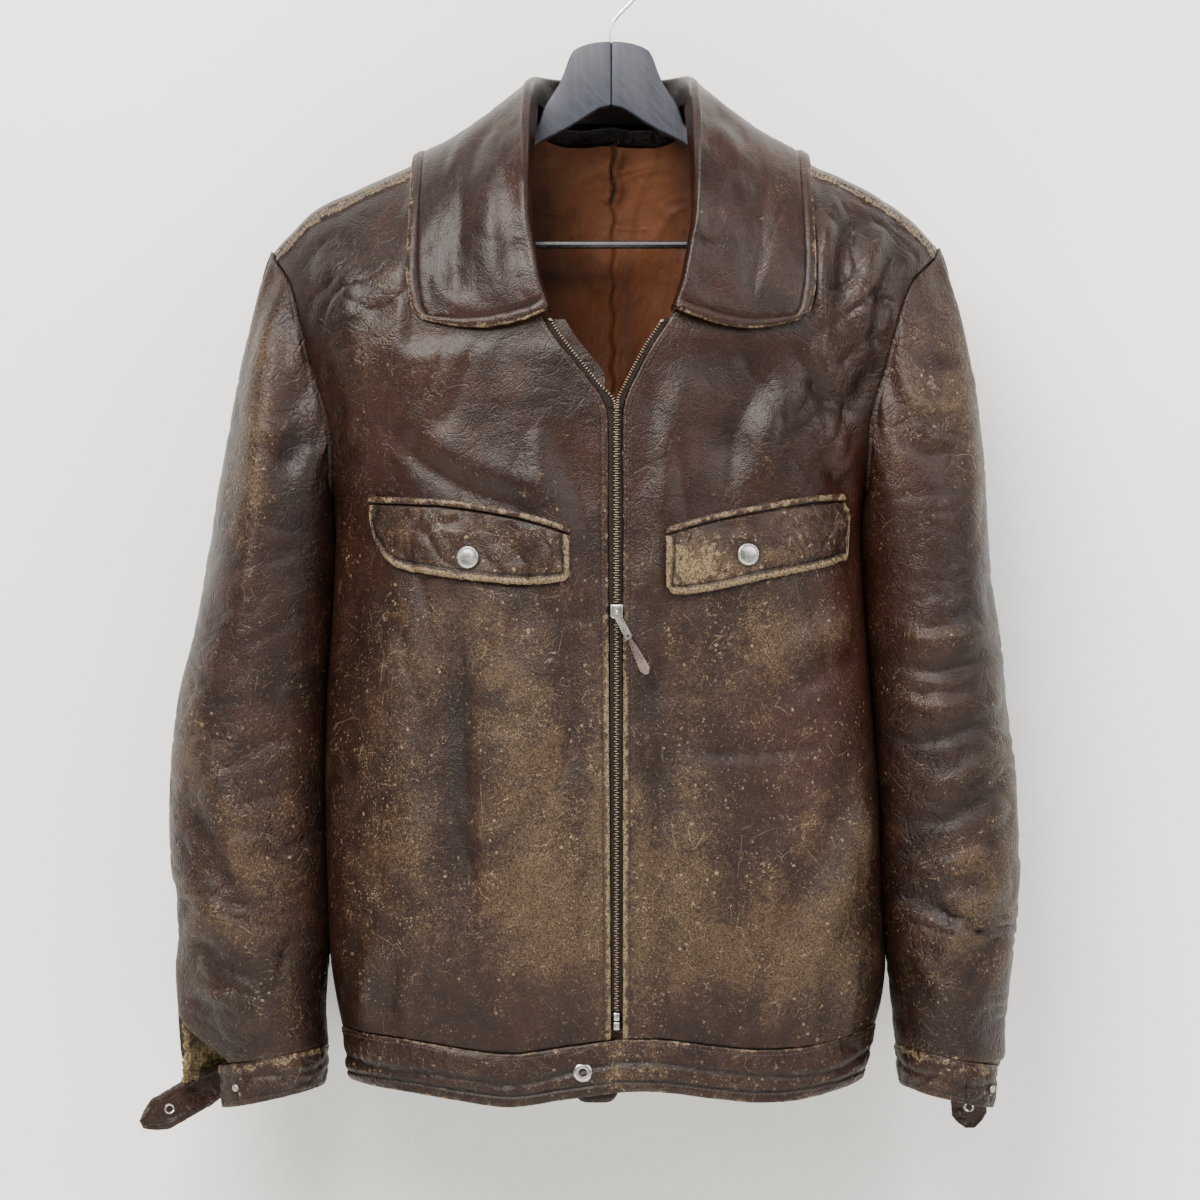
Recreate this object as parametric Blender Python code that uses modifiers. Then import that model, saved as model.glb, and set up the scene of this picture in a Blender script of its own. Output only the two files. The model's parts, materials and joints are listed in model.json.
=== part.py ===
"""Worn leather coat on a wooden hanger, in metres, +Z up, front towards -Y.

The origin is the inside top of the hanger's hook, where a rail carries it.
"Right" and "left" are the wearer's: the right side is at -X.
"""
import math

import bmesh
import bpy
import numpy as np
from mathutils import Vector

# Driving dimensions
LEATHER = 0.0018        # one layer of leather
FOLDED = 0.0030         # two layers, as in the bands and flaps
GAP = 0.0003            # between pieces that meet
SEAM = 0.0008           # half of the gap along a side seam
SHOULDER_ROUND = 0.100  # height of the rounding from the ridge to the chest
SIDE_POWER = 2.5        # how square the body's section is
BAND_HEIGHT = 0.037     # waistband
BAND_TAB_Z = -0.8195
UNDERARM_Z = -0.405
SEAM_TURN = 0.22        # where the lapped shoulder seam lies, in front of the ridge
HEM_TURN = 2.0          # the hem's place on the body's surface
BACK_LEVEL_TURN = -1.1  # below this the back's rows follow the hem
ARMHOLE_STEP = 0.0026   # the sleeve starts this far outside the armhole's edge


class Table:
    """Rows of named columns, read smoothly along the first one."""

    def __init__(self, columns, rows):
        self.names = columns.split()
        rows = sorted(rows)
        self.values = {name: [row[i] for row in rows] for i, name in enumerate(self.names)}
        self.places = self.values[self.names[0]]

    def at(self, name, place):
        """Cubic reading with each row's slope taken from its neighbours."""
        p, v = self.places, self.values[name]
        place = min(max(place, p[0]), p[-1])
        i = 0
        while i < len(p) - 2 and place > p[i + 1]:
            i += 1
        span = p[i + 1] - p[i]
        t = (place - p[i]) / span

        def slope(k):
            low, high = max(k - 1, 0), min(k + 1, len(p) - 1)
            return (v[high] - v[low]) / (p[high] - p[low]) * span

        rise = v[i + 1] - v[i]
        return (v[i] + t * slope(i) + t * t * (3 * rise - 2 * slope(i) - slope(i + 1))
                + t ** 3 * (slope(i) + slope(i + 1) - 2 * rise))


# Half widths of the body, the armholes' edges and the depths in front and behind
BODY = Table("z half_right half_left arm_right arm_left front back", [
    (-0.090, 0.2500, 0.2420, 0.2440, 0.2360, 0.060, 0.055),
    (-0.215, 0.2480, 0.2400, 0.2420, 0.2336, 0.080, 0.074),
    (-0.239, 0.2440, 0.2310, 0.2290, 0.2140, 0.086, 0.080),
    (-0.267, 0.2370, 0.2210, 0.2210, 0.2040, 0.091, 0.084),
    (-0.296, 0.2290, 0.2120, 0.2140, 0.1960, 0.094, 0.087),
    (-0.345, 0.2150, 0.1980, 0.1995, 0.1835, 0.097, 0.088),
    (-0.405, 0.2000, 0.1815, 0.2000, 0.1815, 0.098, 0.087),
    (-0.466, 0.2000, 0.1820, 0.2000, 0.1820, 0.099, 0.085),
    (-0.537, 0.2045, 0.1875, 0.2045, 0.1875, 0.100, 0.083),
    (-0.608, 0.2055, 0.1925, 0.2055, 0.1925, 0.100, 0.082),
    (-0.679, 0.2035, 0.1945, 0.2035, 0.1945, 0.098, 0.080),
    (-0.722, 0.2015, 0.1970, 0.2015, 0.1970, 0.095, 0.078),
    (-0.750, 0.1975, 0.1945, 0.1975, 0.1945, 0.091, 0.076),
    (-0.772, 0.1930, 0.1890, 0.1930, 0.1890, 0.088, 0.074),
    (-0.810, 0.1865, 0.1800, 0.1865, 0.1800, 0.085, 0.072),
])
# Shoulder ridge
RIDGE = Table("x z_right z_left", [
    (0.000, -0.0950, -0.0950),
    (0.030, -0.1010, -0.1010),
    (0.064, -0.1170, -0.1165),
    (0.100, -0.1335, -0.1340),
    (0.140, -0.1515, -0.1510),
    (0.185, -0.1715, -0.1720),
    (0.214, -0.1860, -0.1920),
    (0.234, -0.2060, -0.2128),
    (0.250, -0.2260, -0.2300),
])
# Panel hem, which is the waistband's top seam
HEM = Table("x z_right z_left", [
    (0.000, -0.7740, -0.7735),
    (0.035, -0.7790, -0.7735),
    (0.070, -0.7840, -0.7780),
    (0.105, -0.7805, -0.7815),
    (0.140, -0.7755, -0.7795),
    (0.195, -0.7700, -0.7665),
])
# Inner edges of the fronts: the neck, the open top of the zip, then the zip
FRONT_EDGE = Table("z right left", [
    (-0.090, 0.0660, 0.0660),
    (-0.147, 0.0650, 0.0650),
    (-0.190, 0.0665, 0.0640),
    (-0.225, 0.0640, 0.0600),
    (-0.252, 0.0560, 0.0500),
    (-0.270, 0.0470, 0.0400),
    (-0.285, 0.0370, 0.0300),
    (-0.305, 0.0210, 0.0190),
    (-0.322, 0.0080, 0.0110),
    (-0.335, 0.0030, 0.0080),
    (-0.400, 0.0025, 0.0080),
    (-0.830, 0.0000, 0.0080),
])
# Top edge of the back: the neck in the middle, then the shoulder seam
BACK_TOP = Table("x turn", [
    (0.000, -0.480),
    (0.025, -0.460),
    (0.045, -0.360),
    (0.058, -0.160),
    (0.068, 0.140),
    (0.080, 0.215),
    (0.250, 0.220),
])


def side_name(x):
    return "right" if x < 0 else "left"


def surface(x, z, swell, front):
    """A point of the body's outer surface; swell runs from 0 on the ridge to 1."""
    half = BODY.at("half_" + side_name(x), z)
    depth = BODY.at("front" if front else "back", z)
    across = min(abs(x) / half, 1.0)
    y = depth * swell * (1 - across ** SIDE_POWER) ** (1 / SIDE_POWER)
    return Vector((x, -y if front else y, z))


def body(x, turn):
    """The body's surface: turn is 0 on the ridge, 1 under its rounding and 2 at
    the hem, and below 0 on the back."""
    ridge = RIDGE.at("z_" + side_name(x), abs(x))
    hem = HEM.at("z_" + side_name(x), abs(x))
    reach = abs(turn)
    if reach <= 1:
        angle = reach * math.pi / 2
        drop, swell = SHOULDER_ROUND * (1 - math.cos(angle)), math.sin(angle)
    else:
        drop = SHOULDER_ROUND + (reach - 1) * (ridge - hem - SHOULDER_ROUND)
        swell = 1.0
    return surface(x, ridge - drop, swell, turn > 0)


def turn_at(x, z, front=True):
    """The turn of the surface's point at (x, z)."""
    ridge = RIDGE.at("z_" + side_name(x), abs(x))
    hem = HEM.at("z_" + side_name(x), abs(x))
    drop = max(ridge - z, 0.0)
    if drop <= SHOULDER_ROUND:
        reach = math.acos(1 - drop / SHOULDER_ROUND) / (math.pi / 2)
    else:
        reach = 1 + (drop - SHOULDER_ROUND) / (ridge - hem - SHOULDER_ROUND)
    return reach if front else -reach


def normal_at(x, turn):
    """Outward direction of the body's surface."""
    step = 0.002
    inward = -step if x > 0 else step
    across = (body(x + inward, turn) - body(x, turn)) * math.copysign(1, inward)
    down = body(x, turn + step) - body(x, turn)
    return down.cross(across).normalized()


def lifted(x, turn, height):
    """A point this far outside the body's surface."""
    return body(x, turn) + normal_at(x, turn) * height


def edge_at(turn, side, table, prefix=""):
    """|x| where an edge given by height crosses the line of this turn."""
    low, high = 0.0, 0.260
    for _ in range(30):
        x = (low + high) / 2
        if table.at(prefix + side, body(sign_of(side) * x, turn).z) > x:
            low = x
        else:
            high = x
    return low


def sign_of(side):
    return -1 if side == "right" else 1


def spread(count, ease):
    """Fractions from 0 to 1 that crowd towards 1 as ease grows."""
    return [1 - (1 - i / count) ** ease for i in range(count + 1)]


# Objects and materials
def material(name, color, roughness, metallic=0.0):
    made = bpy.data.materials.new(name)
    made.use_nodes = True
    shader = made.node_tree.nodes["Principled BSDF"]
    shader.inputs["Base Color"].default_value = (*color, 1)
    shader.inputs["Roughness"].default_value = roughness
    shader.inputs["Metallic"].default_value = metallic
    return made


def add_object(name, data, look, place=(0, 0, 0)):
    item = bpy.data.objects.new(name, data)
    item.location = place
    data.materials.append(material(name, *look))
    bpy.data.collections["leather_coat"].objects.link(item)
    return item


def sheet(name, grid, thickness, look, closed=False, origin=(0, 0, 0)):
    """A wall whose outer face runs through rows of points."""
    rows, columns = len(grid), len(grid[0])
    home = Vector(origin)
    points = [Vector(p) - home for row in grid for p in row]
    last = columns if closed else columns - 1
    faces = []
    for r in range(rows - 1):
        for c in range(last):
            n = (c + 1) % columns
            faces.append((r * columns + c, (r + 1) * columns + c,
                          (r + 1) * columns + n, r * columns + n))
    mesh = bpy.data.meshes.new(name)
    mesh.from_pydata(points, [], faces)
    item = add_object(name, mesh, look, origin)
    wall = item.modifiers.new("Wall", "SOLIDIFY")
    wall.thickness = thickness
    wall.offset = -1
    return item


LEATHER_LOOK = ((0.055, 0.030, 0.020), 0.45)
WORN_LOOK = ((0.110, 0.070, 0.038), 0.60)
LINING_LOOK = ((0.075, 0.022, 0.009), 0.50)
TAPE_LOOK = ((0.045, 0.032, 0.025), 0.85)
BRASS_LOOK = ((0.42, 0.33, 0.20), 0.40, 1.0)
STEEL_LOOK = ((0.62, 0.60, 0.56), 0.28, 1.0)
WOOD_LOOK = ((0.055, 0.055, 0.065), 0.55)

# Collar: the roll stands off the body by up and out, and the fall ends at the edge.
# A row for each place from the middle of the back to the front.
COLLAR = Table("place roll_x roll_turn up out edge_x edge_turn", [
    (0.00, 0.0000, -0.50, 0.029, 0.002, 0.0000, -1.020),
    (0.13, 0.0270, -0.44, 0.027, 0.002, 0.0620, -0.960),
    (0.26, 0.0485, -0.26, 0.021, 0.003, 0.1080, -0.720),
    (0.36, 0.0568, +0.00, 0.012, 0.004, 0.1300, -0.360),
    (0.45, 0.0575, +0.27, 0.007, 0.008, 0.1390, +0.060),
    (0.54, 0.0588, +0.53, 0.002, 0.012, 0.1412, +0.500),
    (0.66, 0.0600, +0.78, 0.000, 0.012, 0.1425, +0.735),
    (0.78, 0.0585, +0.97, 0.000, 0.010, 0.1430, +0.890),
    (0.89, 0.0530, +1.05, 0.000, 0.008, 0.1410, +1.005),
    (1.00, 0.0450, +1.10, 0.000, 0.006, 0.1320, +1.040),
])
COLLAR_SAG = 0.0085     # roundness of the leaf's bottom edge
COLLAR_CLEAR = 0.0036   # the fall's outer face above the panels
COLLAR_WALL = 0.0018
ROLL_WIDTH = 0.0044     # from the stand's inner face to the fall's outer one
STAND_FOOT = 0.0036     # the stand's foot inside the neck seam

# Sleeves: rings below the underarm
SLEEVE = {
    "right": Table("z outer inner depth", [
        (-0.445, 0.2920, 0.2032, 0.062),
        (-0.490, 0.3005, 0.2056, 0.063),
        (-0.537, 0.3105, 0.2090, 0.062),
        (-0.608, 0.3175, 0.2088, 0.060),
        (-0.679, 0.3155, 0.2068, 0.058),
        (-0.740, 0.3030, 0.2040, 0.056),
        (-0.790, 0.2855, 0.2030, 0.049),
    ]),
    "left": Table("z outer inner depth", [
        (-0.445, 0.2748, 0.1850, 0.062),
        (-0.490, 0.2795, 0.1880, 0.063),
        (-0.537, 0.2833, 0.1925, 0.062),
        (-0.608, 0.2897, 0.1962, 0.060),
        (-0.679, 0.2918, 0.1990, 0.058),
        (-0.740, 0.2870, 0.2025, 0.056),
        (-0.790, 0.2805, 0.2040, 0.049),
    ]),
}
SLEEVE_TOP_Z = -0.445
SLEEVE_END_Z = -0.790
SLEEVE_COUNT = 9        # steps round each half of a sleeve
SLEEVE_SEAM = math.radians(4)  # the outer seam, where the cuff's vent opens
CUFF_TILT = 0.008       # the cuff seam drops towards the outer side
VENT_RISE = {"right": 0.036, "left": 0.006}
VENT_FLARE = {"right": 0.0275, "left": 0.0030}
VENT_FLARE_TOP = -0.690
VENT_LINING_DEPTH = 0.0062  # inside the sleeve
CUFF = {"right": (0.2855, 0.2030), "left": (0.2805, 0.2040)}  # outer and inner |x|
CUFF_DEPTH = 0.049
CUFF_HEIGHT = 0.031
CUFF_TAPER = 0.0035


# Rows of the fronts, closer where the zip opens at the neck
FRONT_TURNS = [SEAM_TURN + 0.012, 0.270, 0.42, 0.62, 0.80, 0.93, 1.02, 1.07, 1.12, 1.16,
               1.195, 1.22, 1.24, 1.27, 1.34, 1.44, 1.54, 1.65, 1.76, 1.88, HEM_TURN]


def front_panel(side):
    sign = sign_of(side)
    inner = edge_at(FRONT_TURNS[0], side, FRONT_EDGE)
    outer = edge_at(FRONT_TURNS[0], side, BODY, "arm_")
    meets = [share * outer for share in spread(11, 1.5)]
    shares = [0] + [(x - inner) / (outer - inner) for x in meets if x > inner + 0.010]
    grid = []
    for turn in FRONT_TURNS:
        inner = edge_at(turn, side, FRONT_EDGE)
        outer = edge_at(turn, side, BODY, "arm_")
        row = []
        for share in shares:
            point = body(sign * (inner + (outer - inner) * share), turn)
            point.y = min(point.y, -SEAM)
            row.append(point)
        grid.append(row[::sign])
    return sheet("front_" + side, grid, LEATHER, LEATHER_LOOK)


def back_panel():
    shares = spread(11, 1.5)
    across = [-s for s in reversed(shares)] + shares[1:]
    grid = []
    for low in [0, 0.03] + [i / 8 for i in range(1, 19)]:
        row = []
        for share in across:
            side = "right" if share < 0 else "left"
            top = BACK_TOP.at("turn", abs(share) * 0.242)
            if low < 1:
                turn = top + (BACK_LEVEL_TURN - top) * low
            else:
                turn = BACK_LEVEL_TURN + (-HEM_TURN - BACK_LEVEL_TURN) * (low - 1) / 1.25
            x = share * edge_at(turn, side, BODY, "arm_")
            point = body(x, turn)
            if turn < -0.3:
                point.y = max(point.y, SEAM)
            row.append(point)
        grid.append(row[::-1])
    return sheet("back", grid, LEATHER, LEATHER_LOOK)


def armhole_point(side, angle):
    """The armhole's edge: angle is 0 at the shoulder, half a turn at the underarm."""
    sign = sign_of(side)
    top = body(sign * edge_at(0, side, BODY, "arm_"), 0).z
    z = top + (UNDERARM_Z - top) * (1 - math.cos(angle)) / 2
    x = sign * BODY.at("arm_" + side, z)
    return body(x, turn_at(x, z, angle < math.pi))


def ease(low, high, value):
    """0 at low, 1 at high, level at both ends."""
    t = min(max((value - low) / (high - low), 0.0), 1.0)
    return t * t * (3 - 2 * t)


def outer_degrees(angle):
    """Degrees from the sleeve's outer line, above 0 in front."""
    return (math.degrees(angle) + 180) % 360 - 180


def sleeve_ring(side, angle, z):
    sign = sign_of(side)
    table = SLEEVE[side]
    around = outer_degrees(angle)
    flare = (1 - ease(12, 50, around)) * ease(-85, -50, around)
    flare *= VENT_FLARE[side] * ease(VENT_FLARE_TOP, SLEEVE_END_Z - 0.02, z)
    outer, inner = table.at("outer", z) + flare, table.at("inner", z)
    middle, half = (outer + inner) / 2, (outer - inner) / 2
    return Vector((sign * (middle + half * math.cos(angle)),
                   -table.at("depth", z) * math.sin(angle), z))


def sleeve_point(side, angle, share):
    """A sleeve's outer surface: share is 0 at the armhole, 1 at the last ring."""
    sign = sign_of(side)
    start = armhole_point(side, angle) + Vector((sign * ARMHOLE_STEP, 0, 0))
    join = 0.34
    if share < join:
        end = sleeve_ring(side, angle, SLEEVE_TOP_Z)
        reach = (end - start).length / 3
        leave = Vector((sign * 0.36 * (1 + math.cos(angle)) / 2, -0.30 * math.sin(angle), -1))
        t = share / join
        a, d = start, end
        b = start + leave.normalized() * reach
        c = end + (end - sleeve_ring(side, angle, SLEEVE_TOP_Z - 0.02)).normalized() * reach
        return a * (1 - t) ** 3 + b * 3 * t * (1 - t) ** 2 + c * 3 * t * t * (1 - t) + d * t ** 3
    low = (share - join) / (1 - join)
    z = SLEEVE_TOP_Z + (SLEEVE_END_Z - SLEEVE_TOP_Z) * low
    point = sleeve_ring(side, angle, z)
    around = outer_degrees(angle)
    rise = VENT_RISE[side] * ease(-16, 4, around) * (1 - ease(4, 58, around))
    rise -= CUFF_TILT * math.cos(angle)
    point.z += rise * low ** 2
    return point


def sleeve(side, half):
    """The front or back half of a sleeve, between its outer and inner seams."""
    start = SLEEVE_SEAM + (0 if half == "front" else math.pi)
    angles = [(start + math.pi * i / SLEEVE_COUNT) % (2 * math.pi) for i in range(SLEEVE_COUNT + 1)]
    apart = Vector((0, -SEAM if half == "front" else SEAM, 0))
    grid = []
    for share in [0, 0.06, 0.12, 0.19, 0.26, 0.34, 0.44, 0.54, 0.64, 0.74, 0.83, 0.92, 1.0]:
        row = [sleeve_point(side, angle, share) + apart for angle in angles]
        grid.append(row[::-sign_of(side)])
    return sheet("sleeve_" + half + "_" + side, grid, LEATHER, LEATHER_LOOK)


def cuff_point(side, angle, low):
    """A cuff's outer surface: low is 0 at its seam and 1 at the wrist."""
    sign = sign_of(side)
    outer, inner = CUFF[side]
    middle, half = (outer + inner) / 2, (outer - inner) / 2 - CUFF_TAPER * low
    depth = CUFF_DEPTH - CUFF_TAPER * low
    z = SLEEVE_END_Z - 0.0012 - CUFF_TILT * math.cos(angle) - low * CUFF_HEIGHT
    return Vector((sign * (middle + half * math.cos(angle)), -depth * math.sin(angle), z))


def cuff(side):
    sign = sign_of(side)
    start, end = math.radians(26), math.radians(328)
    angles = [start + (end - start) * i / 15 for i in range(16)]
    grid = [[cuff_point(side, angle, low) for angle in angles[::-sign]] for low in (0, 0.5, 1)]
    return sheet("cuff_" + side, grid, FOLDED, LEATHER_LOOK)


def collar_place(side, place, fall):
    """The fall's outer face: fall is 0 at the roll and 1 at the outer edge."""
    read = {name: COLLAR.at(name, place) for name in COLLAR.names}
    x = sign_of(side) * (read["roll_x"] + (read["edge_x"] - read["roll_x"]) * fall)
    turn = read["roll_turn"] + (read["edge_turn"] - read["roll_turn"]) * fall
    off = (1 - fall) ** 2
    point = lifted(x, turn, COLLAR_CLEAR + read["out"] * off)
    point.z += read["up"] * off
    point.z -= COLLAR_SAG * math.sin(math.pi * fall) * max(0.0, (place - 0.7) / 0.3) ** 2
    return point


def collar():
    """The stand inside the neck, the roll and the fall, in one sheet."""
    places = [i / 14 for i in range(15)]
    stations = [("right", p) for p in reversed(places)] + [("left", p) for p in places[1:]]
    columns = []
    for side, place in stations:
        roll = collar_place(side, place, 0)
        inward = Vector((-roll.x, -0.015 - roll.y, 0)).normalized()
        x = sign_of(side) * COLLAR.at("roll_x", place)
        foot = body(x, COLLAR.at("roll_turn", place)) + inward * STAND_FOOT
        foot.z += 0.004 * (1 - place)
        top = roll + inward * ROLL_WIDTH
        bend = roll + inward * ROLL_WIDTH / 2 + Vector((0, 0, 0.0018))
        fall = [collar_place(side, place, f) for f in (0, 0.12, 0.3, 0.5, 0.7, 0.86, 0.96, 1.0)]
        columns.append([foot, foot.lerp(top, 0.55), top, bend] + fall)
    grid = [list(row) for row in zip(*columns)]
    return sheet("collar", grid, COLLAR_WALL, LEATHER_LOOK)



# Waistband
BAND_LAST = 0.965       # the last place before a side seam
BAND_CLOSE = 0.0070     # where the closed end meets the other side
BAND_GAP = 0.0012
BAND_SEAM = 0.0014      # below the panels' hem
def waistband(name, places):
    """A hem band through places: |1| is a side seam, 0 the front's middle and
    |2| the back's."""
    grid = [[band_point(place, low) for place in places] for low in (0, 0.5, 1)]
    return sheet(name, grid, FOLDED, LEATHER_LOOK)


def band_point(place, low):
    """The waistband's outer face: place as in waistband, low 0 at its top seam."""
    side = "right" if place < 0 else "left"
    behind = abs(place) > 1.0001
    around = 2 - abs(place) if behind else abs(place)
    share = math.sin(min(around, BAND_LAST) * math.pi / 2) ** (2 / SIDE_POWER)
    z = SLEEVE_END_Z
    for _ in range(4):
        x = share * BODY.at("half_" + side, z)
        z = HEM.at("z_" + side, x) - BAND_SEAM - low * BAND_HEIGHT
    point = surface(sign_of(side) * x, z, 1, not behind)
    away = Vector((point.x, point.y * 2, 0)).normalized()
    point += away * 0.0008
    if around > BAND_LAST:
        point.y = SEAM if behind else -SEAM
    return point


def underlap_tab():
    """The closed end's tab, seen just below the band."""
    grid = []
    for z in (-0.790, -0.806, BAND_TAB_Z):
        grid.append([surface(x, z, 1, True) + Vector((0, 0.0046, 0)) for x in (-0.0255, -0.011, 0.0042)])
    return sheet("underlap_tab", grid, LEATHER, LEATHER_LOOK)


# Chest pockets: heights of the welt's upper line and the flap's two edges
POCKET = {
    "right": Table("x top bottom", [
        (0.0285, -0.4215, -0.4480),
        (0.0330, -0.4195, -0.4535),
        (0.0646, -0.4100, -0.4555),
        (0.1143, -0.4015, -0.4505),
        (0.1390, -0.4000, -0.4460),
        (0.1520, -0.3992, -0.4415),
        (0.1640, -0.3988, -0.4280),
        (0.1695, -0.3985, -0.4080),
    ]),
    "left": Table("x top bottom", [
        (0.0376, -0.4215, -0.4570),
        (0.0430, -0.4195, -0.4625),
        (0.0700, -0.4120, -0.4600),
        (0.1058, -0.4045, -0.4520),
        (0.1400, -0.3985, -0.4450),
        (0.1600, -0.3970, -0.4385),
        (0.1640, -0.3968, -0.4340),
        (0.1655, -0.3966, -0.4080),
    ]),
}
WELT_HEIGHT = 0.0062
FLAP_LIFT = 0.0036
FLAP_DROOP = 0.0015
FLAP_SNAP = {"right": (-0.0994, -0.4363), "left": (0.0944, -0.4342)}


def pocket_flap(side):
    sign = sign_of(side)
    table = POCKET[side]
    first, last = table.places[0], table.places[-1]
    grid = []
    for low in (0, 0.25, 0.5, 0.75, 1):
        row = []
        for i in range(11):
            share = (1 - math.cos(math.pi * i / 10)) / 2
            x = sign * (first + (last - first) * share)
            top, bottom = table.at("top", abs(x)), table.at("bottom", abs(x))
            z = top + (bottom - top) * low
            row.append(lifted(x, turn_at(x, z), FLAP_LIFT + FLAP_DROOP * low))
        grid.append(row[::sign])
    return sheet("pocket_flap_" + side, grid, LEATHER, WORN_LOOK)


def pocket_welt(side):
    sign = sign_of(side)
    table = POCKET[side]
    first, last = table.places[0], table.places[-1]
    grid = []
    for rise, lift in ((WELT_HEIGHT + 0.0006, 0.0030), (WELT_HEIGHT / 2, 0.0040), (0.0006, 0.0036)):
        row = []
        for i in range(12):
            x = sign * (first + (last - first) * i / 11)
            z = table.at("top", abs(x)) + rise
            row.append(lifted(x, turn_at(x, z), lift))
        grid.append(row[::sign])
    return sheet("pocket_welt_" + side, grid, LEATHER, LEATHER_LOOK)


# Lining and facings, which lie inside the shell
LINING_LOW_TURN = -1.42
def lining_back():
    grid = []
    for i in range(9):
        row = []
        for x in (-0.105, -0.086, -0.07, -0.054, -0.036, -0.018, 0,
                  0.018, 0.036, 0.054, 0.07, 0.086, 0.105):
            top = BACK_TOP.at("turn", abs(x)) - 0.09
            row.append(lifted(x, top + (LINING_LOW_TURN - top) * i / 8, -0.0055))
        grid.append(row[::-1])
    return sheet("lining_back", grid, 0.0012, LINING_LOOK)


def vent_lining():
    """Pile lining inside the back half of the open vent, on the right sleeve."""
    grid = []
    for z in (-0.738, -0.760, -0.782, -0.803):
        row = []
        for degrees in (-53, -42, -31, -21, -12, -4):
            point = sleeve_ring("right", math.radians(degrees), z)
            middle = Vector((-0.250, 0, z))
            row.append(point + (middle - point).normalized() * VENT_LINING_DEPTH)
        grid.append(row)
    return sheet("vent_lining_right", grid, 0.0030, WORN_LOOK)


FACING_WIDTH = 0.040
FACING_TOP_Z = -0.2690
FACING_LOW_Z = -0.4000
FACING_REACH = {"right": 0.015, "left": 0.004}  # beyond the front's edge


def facing(side):
    sign = sign_of(side)
    grid = []
    for i in range(11):
        z = FACING_TOP_Z + (FACING_LOW_Z - FACING_TOP_Z) * i / 10
        edge = FRONT_EDGE.at(side, z)
        reach = FACING_REACH[side] * min(1.0, max(0.0, (edge - 0.004) / 0.016))
        row = []
        for share in (0, 0.33, 0.67, 1):
            x = sign * (edge - reach + (FACING_WIDTH + reach) * share)
            row.append(surface(x, z, 1, True) + Vector((0, 0.0044, 0)))
        grid.append(row[::sign])
    return sheet("facing_" + side, grid, 0.0014, LEATHER_LOOK)


# Zip
ZIP_X = 0.0036
ZIP_TOP_Z = -0.268
TAPE_CLEAR = 0.0008
ZIP_MEET_Z = -0.3280
SLIDER_Z = -0.4740
ZIP_FOOT_Z = -0.7540
ZIP_BACK = 0.0004       # the tapes lie this far behind the leather's outer face
PULL_TILT = math.radians(27)
HINGE_DROP = 0.0015
HINGE_LIFT = 0.0066
PULL_LENGTH = 0.0200
STRIP_LENGTH = 0.0255


def strip_along(name, side, near, far, top, bottom, back, thickness, look, count):
    """A strip that follows a front's edge between two distances from it."""
    sign = sign_of(side)
    grid = []
    for i in range(count + 1):
        z = top + (bottom - top) * i / count
        edge = FRONT_EDGE.at(side, z)
        row = [surface(sign * (edge - d), z, 1, True) + Vector((0, back, 0)) for d in (near, far)]
        grid.append(row[::-sign])
    return sheet(name, grid, thickness, look)


def zip_strip(name, half, top, bottom, back, thickness, look, count):
    """A strip down the closed zip; with no half width it fills the gap."""
    grid = []
    for i in range(count + 1):
        z = top + (bottom - top) * i / count
        if half is None:
            ends = (TAPE_CLEAR - FRONT_EDGE.at("right", z), FRONT_EDGE.at("left", z) - TAPE_CLEAR)
        else:
            ends = (ZIP_X - half, ZIP_X + half)
        grid.append([surface(x, z, 1, True) + Vector((0, back, 0)) for x in ends])
    return sheet(name, grid, thickness, look)


def box(name, size, place, look, bevel=0.0006, turn=0.0):
    mesh = bpy.data.meshes.new(name)
    shape = bmesh.new()
    bmesh.ops.create_cube(shape, size=1)
    bmesh.ops.scale(shape, vec=size, verts=shape.verts)
    shape.to_mesh(mesh)
    shape.free()
    item = add_object(name, mesh, look, place)
    item.rotation_euler = (0, turn, 0)
    rounding = item.modifiers.new("Rounding", "BEVEL")
    rounding.width = bevel
    rounding.segments = 2
    return item


def disc(name, radius, height, place, outward, look, hole=0.0):
    """A round cap whose base is at place and whose axis is outward."""
    mesh = bpy.data.meshes.new(name)
    item = add_object(name, mesh, look, place)
    rim = min(0.25 * height, 0.0008)
    outline = [(radius, 0), (radius, height - rim), (radius - rim, height)]
    if hole:
        outline = [(hole, 0), *outline, (hole, height), (hole, 0)]
    else:
        outline = [(0, 0), *outline, (0, height)]
    shape = bmesh.new()
    points = [shape.verts.new((x, 0, z)) for x, z in (outline[:-1] if hole else outline)]
    edges = [shape.edges.new(pair) for pair in zip(points, points[1:])]
    if hole:
        edges.append(shape.edges.new((points[-1], points[0])))
    bmesh.ops.spin(shape, geom=points + edges, cent=(0, 0, 0), axis=(0, 0, 1),
                   angle=2 * math.pi, steps=20, use_merge=True)
    bmesh.ops.remove_doubles(shape, verts=shape.verts, dist=0.00001)
    bmesh.ops.recalc_face_normals(shape, faces=shape.faces)
    shape.to_mesh(mesh)
    shape.free()
    item.rotation_mode = "QUATERNION"
    item.rotation_quaternion = Vector(outward).to_track_quat("Z", "Y")
    return item


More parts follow.
